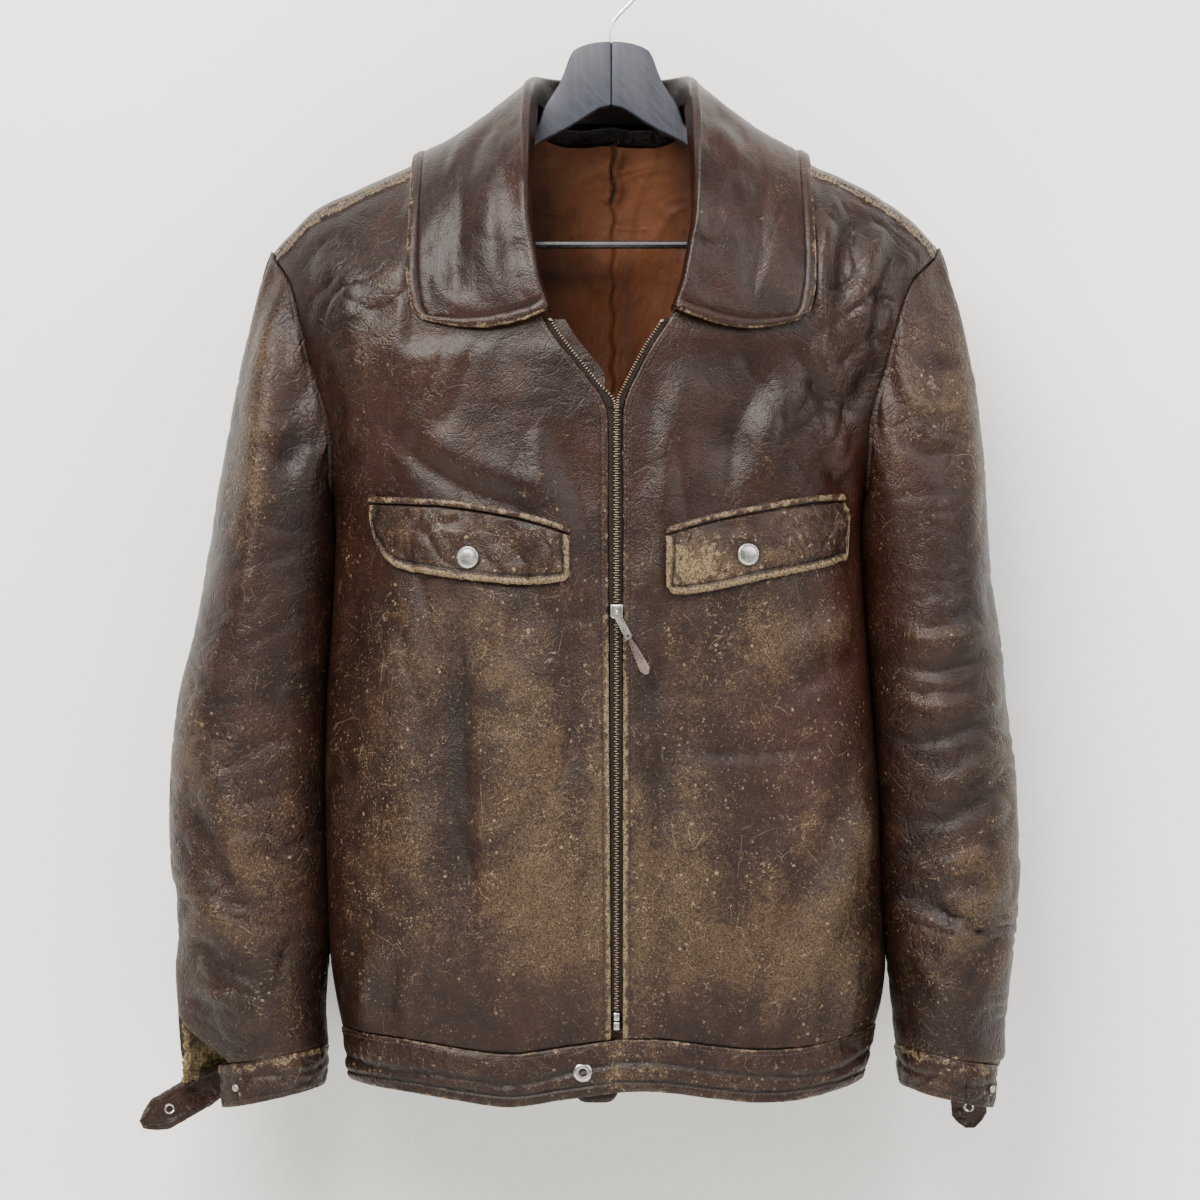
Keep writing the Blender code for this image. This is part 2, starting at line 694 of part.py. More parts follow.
def plate(name, outline, holes, thickness, place, look, turn=0.0):
    """A flat piece from outlines in its own width and height, facing the front."""
    curve = bpy.data.curves.new(name, "CURVE")
    curve.dimensions = "2D"
    curve.fill_mode = "BOTH"
    curve.extrude = thickness / 2
    for loop in [outline, *holes]:
        spline = curve.splines.new("POLY")
        spline.points.add(len(loop) - 1)
        for point, (x, y) in zip(spline.points, loop):
            point.co = (x, y, 0, 1)
        spline.use_cyclic_u = True
    drawn = bpy.data.objects.new(name + "_outline", curve)
    bpy.context.scene.collection.objects.link(drawn)
    bpy.context.view_layer.update()
    mesh = bpy.data.meshes.new_from_object(drawn.evaluated_get(bpy.context.evaluated_depsgraph_get()))
    bpy.data.objects.remove(drawn)
    shape = bmesh.new()
    shape.from_mesh(mesh)
    bmesh.ops.remove_doubles(shape, verts=shape.verts, dist=0.00001)
    bmesh.ops.recalc_face_normals(shape, faces=shape.faces)
    shape.to_mesh(mesh)
    shape.free()
    mesh.materials.clear()
    item = add_object(name, mesh, look, place)
    item.rotation_euler = (math.pi / 2, turn, 0)
    return item


def circle(radius, x, y, count=12):
    return [(x + radius * math.cos(2 * math.pi * i / count),
             y + radius * math.sin(2 * math.pi * i / count)) for i in range(count)]


def zip_parts():
    for side in ("right", "left"):
        strip_along("zip_tape_" + side, side, 0.0010, 0.0042, ZIP_TOP_Z, -0.3185,
                    ZIP_BACK, 0.0009, TAPE_LOOK, 7)
        strip_along("zip_teeth_" + side, side, 0.0045, 0.0070, ZIP_TOP_Z - 0.002, -0.3170,
                    -0.0006, 0.0020, BRASS_LOOK, 7)
    zip_strip("zip_tape_closed", None, ZIP_MEET_Z - 0.0080, ZIP_FOOT_Z, 0.0016, 0.0008, TAPE_LOOK, 20)
    zip_strip("zip_chain_upper", 0.0026, ZIP_MEET_Z, SLIDER_Z + 0.0060, -0.0006, 0.0018, BRASS_LOOK, 4)
    zip_strip("zip_chain_lower", 0.0019, SLIDER_Z - 0.0060, ZIP_FOOT_Z, 0.0000, 0.0012, BRASS_LOOK, 8)
    zip_strip("zip_end", 0.0024, ZIP_FOOT_Z - 0.0006, ZIP_FOOT_Z - 0.0170, -0.0006, 0.0022,
              STEEL_LOOK, 1)
    face = surface(ZIP_X, SLIDER_Z, 1, True)
    box("zip_slider", (0.0076, 0.0040, 0.0100), face + Vector((0, -0.0024, 0)), STEEL_LOOK, 0.0012)
    hinge = face + Vector((0, -HINGE_LIFT, -HINGE_DROP))
    half, end = 0.0026, PULL_LENGTH
    outline = [(-half * 0.8, 0.0012), (half * 0.8, 0.0012), (half, -0.004), (half, -end + 0.002),
               (half * 0.5, -end), (-half * 0.5, -end), (-half, -end + 0.002), (-half, -0.004)]
    holes = [circle(0.0010, 0, -end + 0.0026)]
    plate("zip_pull", outline, holes, 0.0012, hinge, STEEL_LOOK, -PULL_TILT)
    away = Vector((math.sin(PULL_TILT), 0, -math.cos(PULL_TILT)))
    top, wide = 0.0018, 0.0036
    strip = [(-top, 0), (top, 0), (wide, -STRIP_LENGTH), (0.3 * wide, -STRIP_LENGTH - 0.002),
             (-wide * 0.8, -STRIP_LENGTH + 0.003)]
    plate("zip_pull_strip", strip, [], 0.0012, hinge + away * (PULL_LENGTH + GAP), TAPE_LOOK, -PULL_TILT)


# Straps and snaps
STRAP_WIDTH = 0.0255
STRAP_WALL = 0.0024
STRAP_EYELET = {"right": 0.66, "left": 0.62}  # share of the strap's length
EYELET_LIFT = {"right": STRAP_WALL + GAP, "left": GAP}
CUFF_STUD = {"right": math.radians(56), "left": math.radians(39)}
STRAPS = {
    "right": ((-0.2815, 0.0265, -0.8125), (-0.3385, 0.0060, -0.8440)),
    "left": ((0.2560, 0.0160, -0.8060), (0.2600, 0.0200, -0.8480)),
}


def strap_frame(side, share):
    """Middle of a strap at a share of its length, with its across direction."""
    start, tip = (Vector(p) for p in STRAPS[side])
    along = (tip - start).normalized()
    square = along.cross(Vector((0, 1, 0))).normalized()
    first = Vector((0, 0, 1)) if side == "right" else square
    if square.z < 0:
        square = -square
    across = first.lerp(square, min(1.0, share * 3)).normalized()
    return start.lerp(tip, share), across, along


def strap(side):
    """A cuff tab with a blunt point, flat between two ends."""
    grid = []
    for share, width in ((0, 1), (0.3, 1), (0.55, 1), (0.76, 1), (0.90, 0.66), (1.0, 0.24)):
        middle, across, _ = strap_frame(side, share)
        grid.append([middle + across * (STRAP_WIDTH / 2 * width * k) for k in (-1, 0, 1)])
    return sheet("cuff_strap_" + side, grid, STRAP_WALL, LEATHER_LOOK)


def snaps():
    for side in ("right", "left"):
        x, z = FLAP_SNAP[side]
        turn = turn_at(x, z)
        place = lifted(x, turn, FLAP_LIFT + FLAP_DROOP * 0.7 + 0.0006)
        disc("flap_snap_" + side, 0.0078, 0.0026, place, normal_at(x, turn), STEEL_LOOK)
        angle = CUFF_STUD[side]
        place = cuff_point(side, angle, 0.55)
        away = (place - cuff_point(side, angle + math.pi, 0.55)).normalized()
        disc("cuff_stud_" + side, 0.0026, 0.0016, place + away * 0.0012, away, STEEL_LOOK)
        place, across, along = strap_frame(side, STRAP_EYELET[side])
        away = along.cross(across).normalized()
        away = -away if away.y > 0 else away
        disc("strap_eyelet_" + side, 0.0041, 0.0010, place + away * EYELET_LIFT[side], away,
             STEEL_LOOK, hole=0.0022)
    place = surface(-0.0200, -0.7975, 1, True) + Vector((0, -0.0013, 0))
    disc("waistband_snap", 0.0066, 0.0020, place, (0, -1, 0), STEEL_LOOK, hole=0.0028)


# Hanger
HANGER_DEPTH = 0.0140
BAR_Z = -0.2106
BAR_RADIUS = 0.0028
ARM_FACE_X = 0.1650     # the arms' inner faces, where the bar ends
WOOD_OUTLINE = [        # x and z of the half at +X
    (0.00015, -0.0650), (0.0140, -0.0665), (0.0280, -0.0720), (0.0370, -0.0960),
    (0.0485, -0.1120), (0.0520, -0.1300), (0.0700, -0.1345), (0.1000, -0.1470),
    (0.1400, -0.1640), (0.1850, -0.1850), (0.2050, -0.1990), (0.2080, -0.2150),
    (0.2000, -0.2250), (ARM_FACE_X, -0.2230), (ARM_FACE_X, -0.2010), (0.1300, -0.1900),
    (0.0950, -0.1690), (0.0520, -0.1375), (0.0250, -0.1235), (0.0080, -0.1125),
    (0.00015, -0.1110),
]
HOOK_RADIUS = 0.0200    # inside the arc
WIRE = 0.0032


def hanger():
    for side in ("right", "left"):
        sign = sign_of(side)
        outline = [(sign * x, z) for x, z in WOOD_OUTLINE]
        wood = plate("hanger_wood_" + side, outline, [], HANGER_DEPTH, (0, 0, 0), WOOD_LOOK)
        rounding = wood.modifiers.new("Rounding", "BEVEL")
        rounding.width = 0.0018
        rounding.segments = 2
        rounding.limit_method = "ANGLE"
        rounding.angle_limit = math.radians(50)
    tube("hanger_bar", [(-ARM_FACE_X + GAP, 0, BAR_Z), (ARM_FACE_X - GAP, 0, BAR_Z)], BAR_RADIUS, WOOD_LOOK)
    middle = HOOK_RADIUS + WIRE / 2
    route = [(0, 0, -0.0650 + GAP), (0, 0, -0.0560), (0.0015, 0, -0.0500), (0.0065, 0, -0.0440)]
    first, last = math.radians(-48), math.radians(212)
    for i in range(25):
        angle = first + (last - first) * i / 24
        route.append((middle * math.cos(angle), 0, -HOOK_RADIUS + middle * math.sin(angle)))
    tube("hanger_hook", route, WIRE / 2, STEEL_LOOK)


def tube(name, route, radius, look):
    curve = bpy.data.curves.new(name, "CURVE")
    curve.dimensions = "3D"
    curve.bevel_depth = radius
    curve.bevel_resolution = 2
    curve.use_fill_caps = True
    spline = curve.splines.new("POLY")
    spline.points.add(len(route) - 1)
    for point, place in zip(spline.points, route):
        point.co = (*place, 1)
    return add_object(name, curve, look)


def main():
    for item in list(bpy.data.objects):
        bpy.data.objects.remove(item)
    coat = bpy.data.collections.new("leather_coat")
    bpy.context.scene.collection.children.link(coat)
    for side in ("right", "left"):
        front_panel(side)
        sleeve(side, "front")
        sleeve(side, "back")
        cuff(side)
        strap(side)
        pocket_welt(side)
        pocket_flap(side)
        facing(side)
    back_panel()
    collar()
    steps = [BAND_LAST * i / 13 for i in range(1, 14)] + [1]
    waistband("waistband_right", [-s for s in steps[::-1]] + [BAND_CLOSE - BAND_GAP])
    waistband("waistband_left", [BAND_CLOSE + BAND_GAP] + steps)
    behind = [2 - s for s in steps[:-1]] + [1.001]
    waistband("waistband_back", behind[::-1] + [2] + [-place for place in behind])
    underlap_tab()
    lining_back()
    vent_lining()
    zip_parts()
    snaps()
    hanger()


main()
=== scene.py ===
"""Worn leather coat on a wooden hanger: surfaces, materials, stage and camera."""
import json
import math
from functools import reduce

import bpy
import numpy as np
from bpy.props import FloatProperty, FloatVectorProperty, PointerProperty
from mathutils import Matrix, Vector

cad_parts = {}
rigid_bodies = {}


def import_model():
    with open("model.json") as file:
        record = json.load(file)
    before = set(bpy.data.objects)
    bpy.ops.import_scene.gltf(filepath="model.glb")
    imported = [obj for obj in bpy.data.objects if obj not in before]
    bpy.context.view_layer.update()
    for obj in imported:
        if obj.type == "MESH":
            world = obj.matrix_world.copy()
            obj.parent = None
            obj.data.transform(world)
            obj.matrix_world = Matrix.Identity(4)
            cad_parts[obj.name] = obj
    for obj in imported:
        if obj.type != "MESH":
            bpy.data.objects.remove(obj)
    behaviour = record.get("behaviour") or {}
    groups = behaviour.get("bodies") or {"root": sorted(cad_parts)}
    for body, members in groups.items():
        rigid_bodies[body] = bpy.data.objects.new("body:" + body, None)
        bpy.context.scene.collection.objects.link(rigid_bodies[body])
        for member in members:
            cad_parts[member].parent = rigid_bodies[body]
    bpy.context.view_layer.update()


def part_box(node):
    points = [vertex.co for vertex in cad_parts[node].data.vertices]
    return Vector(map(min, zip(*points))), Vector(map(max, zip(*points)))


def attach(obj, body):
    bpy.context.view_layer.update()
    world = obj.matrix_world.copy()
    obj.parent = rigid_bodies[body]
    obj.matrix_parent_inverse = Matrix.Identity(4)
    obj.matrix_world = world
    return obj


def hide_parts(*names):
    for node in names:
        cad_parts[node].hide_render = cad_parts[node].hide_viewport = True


bl_info = {
    "name": "Worn leather coat",
    "version": (1, 0, 0),
    "blender": (4, 5, 0),
    "location": "3D View > Sidebar > Coat",
    "description": "Dresses a worn leather coat on its hanger, with a studio stage",
    "category": "Object",
}

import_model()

# Construction sizes shared with the solids, in metres
MM = 1000  # millimetres in a metre
SHOULDER_ROUND = 0.100
SIDE_POWER = 2.5
BAND_HEIGHT = 0.037
BAND_SEAM = 0.0014
UNDERARM_Z = -0.405
SEAM_TURN = 0.22
HEM_TURN = 2.0
BACK_LEVEL_TURN = -1.1
ARMHOLE_STEP = 0.0026
SLEEVE_TOP_Z = -0.445
SLEEVE_END_Z = -0.790
SLEEVE_JOIN = 0.34
CUFF_TILT = 0.008
CUFF_HEIGHT = 0.031
CUFF_TAPER = 0.0035
CUFF_DEPTH = 0.049
COLLAR_SAG = 0.0085
COLLAR_CLEAR = 0.0036
ROLL_WIDTH = 0.0044
ROLL_RISE = 0.0020
STAND_FOOT = 0.0036
SIDES = ("right", "left")
SIGN = {"right": -1.0, "left": 1.0}
EDGES = ("top", "bottom", "first", "last")
FREE_EDGES = EDGES[1:]


class Table:
    """Rows of named columns, in metres or in parts of one, read smoothly along the first."""

    def __init__(self, columns, rows, parts=1):
        self.names = columns.split()
        rows = np.array(sorted(rows), dtype=float) / parts
        self.places = rows[:, 0]
        self.columns = {name: rows[:, i] for i, name in enumerate(self.names)}

    def at(self, name, place):
        """Cubic reading with each row's slope taken from its neighbours."""
        p, v = self.places, self.columns[name]
        place = np.clip(np.asarray(place, dtype=float), p[0], p[-1])
        i = np.clip(np.searchsorted(p, place, side="left") - 1, 0, len(p) - 2)
        low, high = np.maximum(i - 1, 0), np.minimum(i + 2, len(p) - 1)
        span = p[i + 1] - p[i]
        t = (place - p[i]) / span
        first = (v[i + 1] - v[low]) / (p[i + 1] - p[low]) * span
        last = (v[high] - v[i]) / (p[high] - p[i]) * span
        rise = v[i + 1] - v[i]
        return (v[i] + t * first + t * t * (3 * rise - 2 * first - last)
                + t ** 3 * (first + last - 2 * rise))


# Tables in millimetres: the body's half widths, armhole edges and depths in front and behind
BODY = Table("z half_right half_left arm_right arm_left front back", [
    (-90, 250, 242, 244, 236, 60, 55),
    (-215, 248, 240, 242, 233.6, 80, 74),
    (-239, 244, 231, 229, 214, 86, 80),
    (-267, 237, 221, 221, 204, 91, 84),
    (-296, 229, 212, 214, 196, 94, 87),
    (-345, 215, 198, 199.5, 183.5, 97, 88),
    (-405, 200, 181.5, 200, 181.5, 98, 87),
    (-466, 200, 182, 200, 182, 99, 85),
    (-537, 204.5, 187.5, 204.5, 187.5, 100, 83),
    (-608, 205.5, 192.5, 205.5, 192.5, 100, 82),
    (-679, 203.5, 194.5, 203.5, 194.5, 98, 80),
    (-722, 201.5, 197, 201.5, 197, 95, 78),
    (-750, 197.5, 194.5, 197.5, 194.5, 91, 76),
    (-772, 193, 189, 193, 189, 88, 74),
    (-810, 186.5, 180, 186.5, 180, 85, 72),
], MM)
# Shoulder ridge
RIDGE = Table("x z_right z_left", [
    (0, -95, -95),
    (30, -101, -101),
    (64, -117, -116.5),
    (100, -133.5, -134),
    (140, -151.5, -151),
    (185, -171.5, -172),
    (214, -186, -192),
    (234, -206, -212.8),
    (250, -226, -230),
], MM)
# Panel hem, which is the waistband's top seam
HEM = Table("x z_right z_left", [
    (0, -774, -773.5),
    (35, -779, -773.5),
    (70, -784, -778),
    (105, -780.5, -781.5),
    (140, -775.5, -779.5),
    (195, -770, -766.5),
], MM)
# Inner edges of the fronts: the neck, the open top of the zip, then the zip
FRONT_EDGE = Table("z right left", [
    (-90, 66, 66),
    (-147, 65, 65),
    (-190, 66.5, 64),
    (-225, 64, 60),
    (-252, 56, 50),
    (-270, 47, 40),
    (-285, 37, 30),
    (-305, 21, 19),
    (-322, 8, 11),
    (-335, 3, 8),
    (-400, 2.5, 8),
    (-830, 0, 8),
], MM)
# Top edge of the back: the neck in the middle, then the shoulder seam
BACK_TOP = Table("x turn", [
    (0.000, -0.480),
    (0.025, -0.460),
    (0.045, -0.360),
    (0.058, -0.160),
    (0.068, 0.140),
    (0.080, 0.215),
    (0.250, 0.220),
])
ZIP_X = 0.0036
# Collar: the roll stands off the body by up and out, and the fall ends at the edge.
# A row for each place from the middle of the back to the front.
COLLAR = Table("place roll_x roll_turn up out edge_x edge_turn", [
    (0.00, 0.0000, -0.50, 0.029, 0.002, 0.0000, -1.020),
    (0.13, 0.0270, -0.44, 0.027, 0.002, 0.0620, -0.960),
    (0.26, 0.0485, -0.26, 0.021, 0.003, 0.1080, -0.720),
    (0.36, 0.0568, +0.00, 0.012, 0.004, 0.1300, -0.360),
    (0.45, 0.0575, +0.27, 0.007, 0.008, 0.1390, +0.060),
    (0.54, 0.0588, +0.53, 0.002, 0.012, 0.1412, +0.500),
    (0.66, 0.0600, +0.78, 0.000, 0.012, 0.1425, +0.735),
    (0.78, 0.0585, +0.97, 0.000, 0.010, 0.1430, +0.890),
    (0.89, 0.0530, +1.05, 0.000, 0.008, 0.1410, +1.005),
    (1.00, 0.0450, +1.10, 0.000, 0.006, 0.1320, +1.040),
])
# Sleeves: rings below the underarm
SLEEVE = {
    "right": Table("z outer inner depth", [
        (-445, 292, 203.2, 62),
        (-490, 300.5, 205.6, 63),
        (-537, 310.5, 209, 62),
        (-608, 317.5, 208.8, 60),
        (-679, 315.5, 206.8, 58),
        (-740, 303, 204, 56),
        (-790, 285.5, 203, 49),
    ], MM),
    "left": Table("z outer inner depth", [
        (-445, 274.8, 185, 62),
        (-490, 279.5, 188, 63),
        (-537, 283.3, 192.5, 62),
        (-608, 289.7, 196.2, 60),
        (-679, 291.8, 199, 58),
        (-740, 287, 202.5, 56),
        (-790, 280.5, 204, 49),
    ], MM),
}
# Chest pockets: heights of the welt's upper line and the flap's two edges
POCKET = {
    "right": Table("x top bottom", [
        (28.5, -421.5, -448),
        (33, -419.5, -453.5),
        (64.6, -410, -455.5),
        (114.3, -401.5, -450.5),
        (139, -400, -446),
        (152, -399.2, -441.5),
        (164, -398.8, -428),
        (169.5, -398.5, -408),
    ], MM),
    "left": Table("x top bottom", [
        (37.6, -421.5, -457),
        (43, -419.5, -462.5),
        (70, -412, -460),
        (105.8, -404.5, -452),
        (140, -398.5, -445),
        (160, -397, -438.5),
        (164, -396.8, -434),
        (165.5, -396.6, -408),
    ], MM),
}
WELT_HEIGHT = 0.0062
FLAP_LIFT = 0.0036
FLAP_DROOP = 0.0015
FLAP_SNAP = {"right": (-0.0994, -0.4363), "left": (0.0944, -0.4342)}
VENT_RISE = {"right": 0.036, "left": 0.006}
VENT_FLARE = {"right": 0.0275, "left": 0.0030}
VENT_FLARE_TOP = -0.690
VENT_LINING_DEPTH = 0.0062
CUFF = {"right": (0.2855, 0.2030), "left": (0.2805, 0.2040)}
STRAPS = {
    "right": ((-0.2815, 0.0265, -0.8125), (-0.3385, 0.0060, -0.8440)),
    "left": ((0.2560, 0.0160, -0.8060), (0.2600, 0.0200, -0.8480)),
}
STRAP_WIDTH = 0.0255
LEATHER_WALL = 0.0016
FOLDED_WALL = 0.0026
THIN_WALL = 0.0014


# The coat's surfaces, worked out on whole arrays of places
def by_side(table, name, x, place):
    """A table's right or left column, by the sign of x."""
    return np.where(x < 0, table.at(name + "_right", place), table.at(name + "_left", place))


def stack(x, y, z):
    return np.stack(np.broadcast_arrays(x, y, z), axis=-1)


def surface(x, z, swell, front):
    """Points of the body's outer surface; swell runs from 0 on the ridge to 1."""
    half = by_side(BODY, "half", x, z)
    depth = np.where(front, -BODY.at("front", z), BODY.at("back", z))
    across = np.minimum(np.abs(x) / half, 1.0)
    return stack(x, depth * swell * (1 - across ** SIDE_POWER) ** (1 / SIDE_POWER), z)


def body(x, turn):
    """The body's surface: turn is 0 on the ridge, 1 under its rounding and 2 at
    the hem, and below 0 on the back."""
    x, turn = np.broadcast_arrays(np.asarray(x, float), np.asarray(turn, float))
    ridge = by_side(RIDGE, "z", x, np.abs(x))
    hem = by_side(HEM, "z", x, np.abs(x))
    reach = np.abs(turn)
    angle = np.minimum(reach, 1) * math.pi / 2
    drop = np.where(reach <= 1, SHOULDER_ROUND * (1 - np.cos(angle)),
                    SHOULDER_ROUND + (reach - 1) * (ridge - hem - SHOULDER_ROUND))
    return surface(x, ridge - drop, np.sin(angle), turn > 0)


def turn_at(x, z):
    """The turn of the front surface's point at (x, z)."""
    ridge = by_side(RIDGE, "z", x, np.abs(x))
    hem = by_side(HEM, "z", x, np.abs(x))
    drop = np.maximum(ridge - z, 0.0)
    near = np.arccos(np.clip(1 - drop / SHOULDER_ROUND, -1, 1)) / (math.pi / 2)
    return np.where(drop <= SHOULDER_ROUND, near,
                    1 + (drop - SHOULDER_ROUND) / (ridge - hem - SHOULDER_ROUND))


def unit(vectors):
    return vectors / np.maximum(np.linalg.norm(vectors, axis=-1, keepdims=True), 1e-12)


def normal_at(x, turn):
    """Outward directions of the body's surface."""
    x = np.asarray(x, float)
    step = 0.002
    inward = np.where(x > 0, -step, step)
    across = (body(x + inward, turn) - body(x, turn)) * np.sign(inward)[..., None]
    down = body(x, turn + step) - body(x, turn)
    return unit(np.cross(down, across))


def edge_at(turn, side, table, name):
    """|x| where an edge given by height crosses the line of this turn."""
    turn = np.asarray(turn, float)
    low, high = np.zeros_like(turn), np.full_like(turn, 0.26)
    for _ in range(30):
        x = (low + high) / 2
        beyond = table.at(name, body(SIGN[side] * x, turn)[..., 2]) > x
        low, high = np.where(beyond, x, low), np.where(beyond, high, x)
    return low


def ease(low, high, value):
    """0 at low, 1 at high, level at both ends."""
    t = np.clip((np.asarray(value, float) - low) / (high - low), 0, 1)
    return t * t * (3 - 2 * t)


def row(values, forward):
    """One row of a grid, turned round where its faces would point inwards."""
    return (values if forward else values[::-1])[None, :]


def wrapped(angle):
    """An angle in degrees, from -180 to 180."""
    return (np.degrees(angle) + 180) % 360 - 180


def mix(a, b, share):
    return a + (b - a) * np.asarray(share)[..., None]


# Unevenness: soft random waves and listed folds
def ripple(points, size, seed, stretch=(1, 1, 1)):
    """A smooth random field about zero, with hills about this size."""
    chance = np.random.default_rng(seed)
    spot = points * np.array(stretch, dtype=float)
    total = np.zeros(points.shape[:-1])
    for _ in range(11):
        way = chance.normal(size=3)
        way /= np.linalg.norm(way)
        wave = size * chance.uniform(1.1, 2.6)
        total += np.sin(spot @ way * (2 * math.pi / wave) + chance.uniform(0, 2 * math.pi))
    return total / 4.0


def crumple(points, size, seed, stretch=(1, 1, 1)):
    """Sharp random creases: 1 in their lines and 0 between them."""
    warp = np.stack([ripple(points, size * 1.5, seed + k, stretch) for k in (1, 2, 3)], axis=-1)
    moved = points + warp * size * 0.35
    return np.clip(1 - np.abs(ripple(moved, size, seed, stretch)) * 1.5, 0, 1) ** 2


def smooth_line(line, count=24):
    """A hand-placed line in millimetres, read smoothly at even steps."""
    line = np.array(line, dtype=float) / MM
    lengths = np.linalg.norm(np.diff(line, axis=0), axis=1)
    place = np.concatenate([[0], np.cumsum(lengths)])
    rows = [(p, *point) for p, point in zip(place, line)]
    table = Table("at_length across up", rows)
    steps = np.linspace(0, place[-1], count)
    return np.stack([table.at("across", steps), table.at("up", steps)], axis=-1)


def line_distance(x, z, line):
    """Distance from a line with its side, and the share of its length there."""
    best = np.full(x.shape, 1e9)
    side = np.zeros(x.shape)
    share = np.zeros(x.shape)
    pieces = len(line) - 1
    for i in range(pieces):
        (ax, az), (bx, bz) = line[i], line[i + 1]
        dx, dz = bx - ax, bz - az
        length = dx * dx + dz * dz
        t = np.clip(((x - ax) * dx + (z - az) * dz) / length, 0, 1)
        off_x, off_z = x - ax - t * dx, z - az - t * dz
        distance = off_x * off_x + off_z * off_z
        nearer = distance < best
        best = np.where(nearer, distance, best)
        side = np.where(nearer, np.sign(dx * off_z - dz * off_x), side)
        share = np.where(nearer, (i + t) / pieces, share)
    return np.sqrt(best), side, share


def fold_height(x, z, folds):
    """Height of folds: each has a height and a width in millimetres, a lean and a line."""
    x, z = np.broadcast_arrays(x, z)
    total = np.zeros(x.shape)
    for height, width, lean, line in folds:
        path, height, width = smooth_line(line), height / MM, width / MM
        low, high = path.min(axis=0) - 3 * width, path.max(axis=0) + 3 * width
        near = (x > low[0]) & (x < high[0]) & (z > low[1]) & (z < high[1])
        if not near.any():
            continue
        distance, side, share = line_distance(x[near], z[near], path)
        t = distance / width
        t = t * (1 + lean * side)
        total[near] += height * np.exp(-t * t) * np.sin(np.pi * np.clip(share, 0.02, 0.98)) ** 0.5
    return total


def spots(x, z, places):
    """Soft round patches: x, z, half width and half height in millimetres, and strength."""
    total = np.zeros(np.broadcast(x, z).shape)
    for *patch, strength in places:
        px, pz, wide, high = (size / MM for size in patch)
        total = total + strength * np.exp(-((x - px) / wide) ** 2 - ((z - pz) / high) ** 2)
    return total


# Mesh helpers
FACES = {}  # outer faces of the finished sheets, for the stitches


def grid_normals(grid, closed=False):
    if closed:
        across = np.roll(grid, -1, axis=1) - np.roll(grid, 1, axis=1)
    else:
        across = np.gradient(grid, axis=1)
    return unit(np.cross(np.gradient(grid, axis=0), across))


def margins(grid):
    """Distances of each point from the top, bottom, first and last edges."""
    down = np.linalg.norm(np.diff(grid, axis=0), axis=-1)
    over = np.linalg.norm(np.diff(grid, axis=1), axis=-1)
    down = np.concatenate([np.zeros((1, grid.shape[1])), np.cumsum(down, axis=0)])
    over = np.concatenate([np.zeros((grid.shape[0], 1)), np.cumsum(over, axis=1)], axis=1)
    return dict(zip(EDGES, (down, down[-1:] - down, over, over[:, -1:] - over)))


def nearest(tops, edges=FREE_EDGES):
    """Distance from the nearest of the named edges."""
    return np.minimum.reduce([tops[edge] for edge in edges])


def deselect():
    for item in bpy.context.selected_objects:
        item.select_set(False)


def activate(item):
    deselect()
    item.select_set(True)
    bpy.context.view_layer.objects.active = item


def apply_all(item):
    """Applies every modifier of a piece."""
    activate(item)
    for modifier in list(item.modifiers):
        bpy.ops.object.modifier_apply(modifier=modifier.name)


def smooth(item, degrees=40):
    activate(item)
    bpy.ops.object.shade_smooth_by_angle(angle=math.radians(degrees))
    deselect()


def settle(item):
    """Moves a piece's place and turn into its mesh."""
    activate(item)
    bpy.ops.object.transform_apply(location=True, rotation=True, scale=True)


def primitive(name, kind, scale=(1, 1, 1), **settings):
    """A named primitive, with its place and scale in its mesh."""
    deselect()
    getattr(bpy.ops.mesh, "primitive_" + kind + "_add")(**settings)
    item = bpy.context.active_object
    item.name = item.data.name = name
    item.scale = scale
    settle(item)
    return item


def linked(name, data):
    item = bpy.data.objects.new(name, data)
    bpy.context.scene.collection.objects.link(item)
    return item


def dress(item, finish, nodes=(), body="coat", degrees=None):
    """Gives a piece its finish, body and slot; degrees is its smooth shading's limit."""
    if degrees:
        smooth(item, degrees)
    item.data.materials.clear()
    item.data.materials.append(look(finish))
    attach(item, body)
    if nodes:
        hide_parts(*nodes)


def wall(name, grid, thickness, closed=False, marks=None):
    """A sheet through rows of points, with its thickness on the inside."""
    FACES[name.rsplit("_", 1)[0]] = grid
    rows, columns = grid.shape[:2]
    index = np.arange(rows * columns).reshape(rows, columns)
    beside = np.roll(index, -1, axis=1)
    last = columns if closed else columns - 1
    faces = np.stack([index[:-1, :last], index[1:, :last], beside[1:, :last],
                      beside[:-1, :last]], axis=-1).reshape(-1, 4)
    mesh = bpy.data.meshes.new(name)
    mesh.from_pydata(grid.reshape(-1, 3).tolist(), [], faces.tolist())
    for mark, values in (marks or {}).items():
        layer = mesh.attributes.new(mark, "FLOAT", "POINT")
        values = np.broadcast_to(values, (rows, columns)).ravel()
        layer.data.foreach_set("value", values.astype(np.float32))
    item = linked(name, mesh)
    solid = item.modifiers.new("Wall", "SOLIDIFY")
    solid.thickness = thickness
    solid.offset = -1
    apply_all(item)
    smooth(item)
    return item


def cover(node, grid, marks=None, thickness=LEATHER_WALL, edges=(), closed=False, nodes=None,
          kind="leather", finish="leather", slot="leather", body="coat", held="hung", **cloth):
    """A sheet over its nodes: edges are turned in, and cloth says its flat size."""
    if edges:
        grid = rolled(grid, edges)
    piece = wall(node + "_" + kind, grid, thickness, closed, marks)
    dress(piece, finish, nodes or [node], body)


def rolled(grid, edges, depth=0.0011, reach=0.0016):
    """The grid with its named edges turned in a little, as a folded edge is."""
    t = np.clip(1 - nearest(margins(grid), edges) / reach, 0, 1)
    return grid - grid_normals(grid) * (depth * (1 - np.sqrt(1 - t * t)))[..., None]


PANEL_HEM = ((0.0008, 0.0004), (0.0028, 0.0018), (0.0036, 0.0075))


